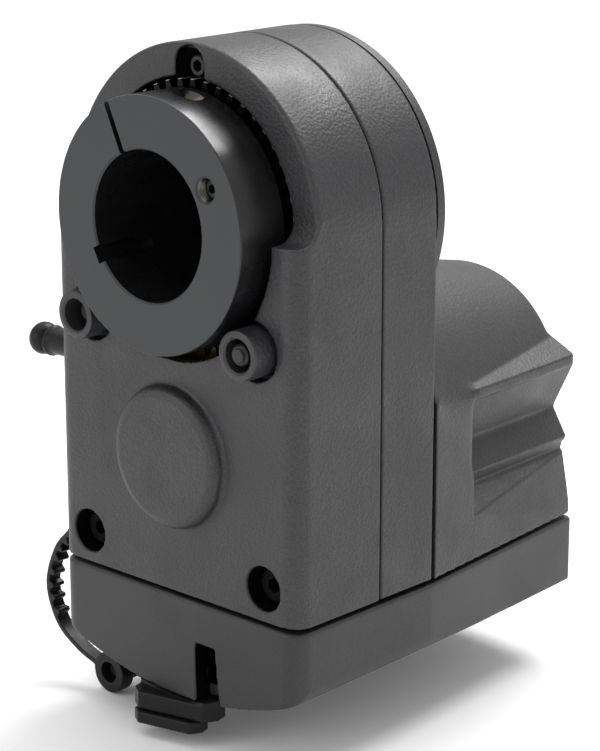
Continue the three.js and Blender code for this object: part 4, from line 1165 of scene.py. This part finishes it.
def cable_strap():
    low, high = low_of("cable_strap"), high_of("cable_strap")
    frames = strap_path(STRAP_SAMPLES)
    outside = [tuple(place - side * STRAP_HALF) for place, along, side in frames]
    inside = [tuple(place + side * STRAP_HALF) for place, along, side in reversed(frames)]
    strap = prism("rubber_strap", outside + inside, low.y, high.y)
    parts = [cylinder("eye", EYE_R, low.y, high.y, EYE[0], EYE[1], 64)]
    for i in range(STRAP_TEETH):
        share = STRAP_FIRST_TOOTH + (STRAP_LAST_TOOTH - STRAP_FIRST_TOOTH) * i / (STRAP_TEETH - 1)
        place, along, side = frames[round(share * STRAP_SAMPLES)]
        corners = ((-0.95, 0.2), (0.95, 0.2), (0.3, 1.55), (-0.3, 1.55))
        outline = [tuple(place + along * run + side * rise) for run, rise in corners]
        parts.append(prism("tooth", outline, low.y, high.y))
    join(strap, parts)
    cut(strap, [cylinder("eye_hole", EYE_HOLE_R, low.y - 1, high.y + 1, EYE[0], EYE[1], 48)])
    soften(strap, voxel=0.16, smoothing=2, faces=24000)
    finished(strap, STRAP_RUBBER, "root", "rubber", "cable_strap")


def strap_post():
    place = centre_of("strap_post")
    left, right = low_of("strap_post").x, high_of("strap_post").x
    profile = [(0, left)]
    for turn in range(-80, 60, 10):
        across = POST_BALL_R * math.cos(math.radians(turn))
        along = POST_BALL_R * math.sin(math.radians(turn))
        profile.append((across, left + 2.6 + along * 0.85))
    profile += [(2.35, left + 4.75), (2.8, left + 5.0), (2.9, left + 5.35), (2.75, left + 5.75)]
    profile.append((2.4, left + 6.2))
    profile += [(2.4, right), (0, right)]
    post = turned("moulded_post", profile, 0, 0, 72, "X")
    post.data.transform(Matrix.Translation(Vector((0, place.y, place.z)) * MM))
    shade(post, 50)
    finished(post, STRAP_RUBBER, "root", "black_steel", "strap_post")


def strap_block():
    """The CAD block and its plate with every edge softened, as moulded rubber has them."""
    for node in ("strap_block", "strap_block_plate"):
        copy = bpy.data.objects.new(node + "_moulded", frame["nodes"][node].data.copy())
        bpy.context.scene.collection.objects.link(copy)
        if node == "strap_block":
            cut(copy, [cylinder("short_pin", EYE_HOLE_R - 0.1, 0, PIN_FRONT_Y, EYE[0], EYE[1], 48)])
        soften(copy, voxel=0.2, smoothing=2, faces=12000)
        finished(copy, STRAP_RUBBER, "root", "rubber", node)


# ---------- everything, in order ----------
camera()
studio()
front_housing()
middle_housing()
motor_housing()
back_cover()
base_shell()
drive_collar()
for sleeve in ("left_screw_sleeve", "right_screw_sleeve"):
    screw_sleeve(sleeve)
mount_screw("upper_mount_screw", "upper_screw", True)
mount_screw("left_mount_screw", "left_screw", False)
mount_screw("right_mount_screw", "right_screw", False)
set_screw("collar_face_screw", "face_screw")
cable_strap()
strap_post()
strap_block()

SLOT_OF = {row["node"]: row["material_slot"] for row in frame["record"]["subparts"]}
for node_name, node in frame["nodes"].items():
    node.data.materials.clear()
    # The case screws take the near-black painted shade of their counterbores.
    node.data.materials.append(SUNK_SCREW_PAINTED_SHADE if "case_screw" in node_name else SLOT_MATERIAL[SLOT_OF[node_name]])
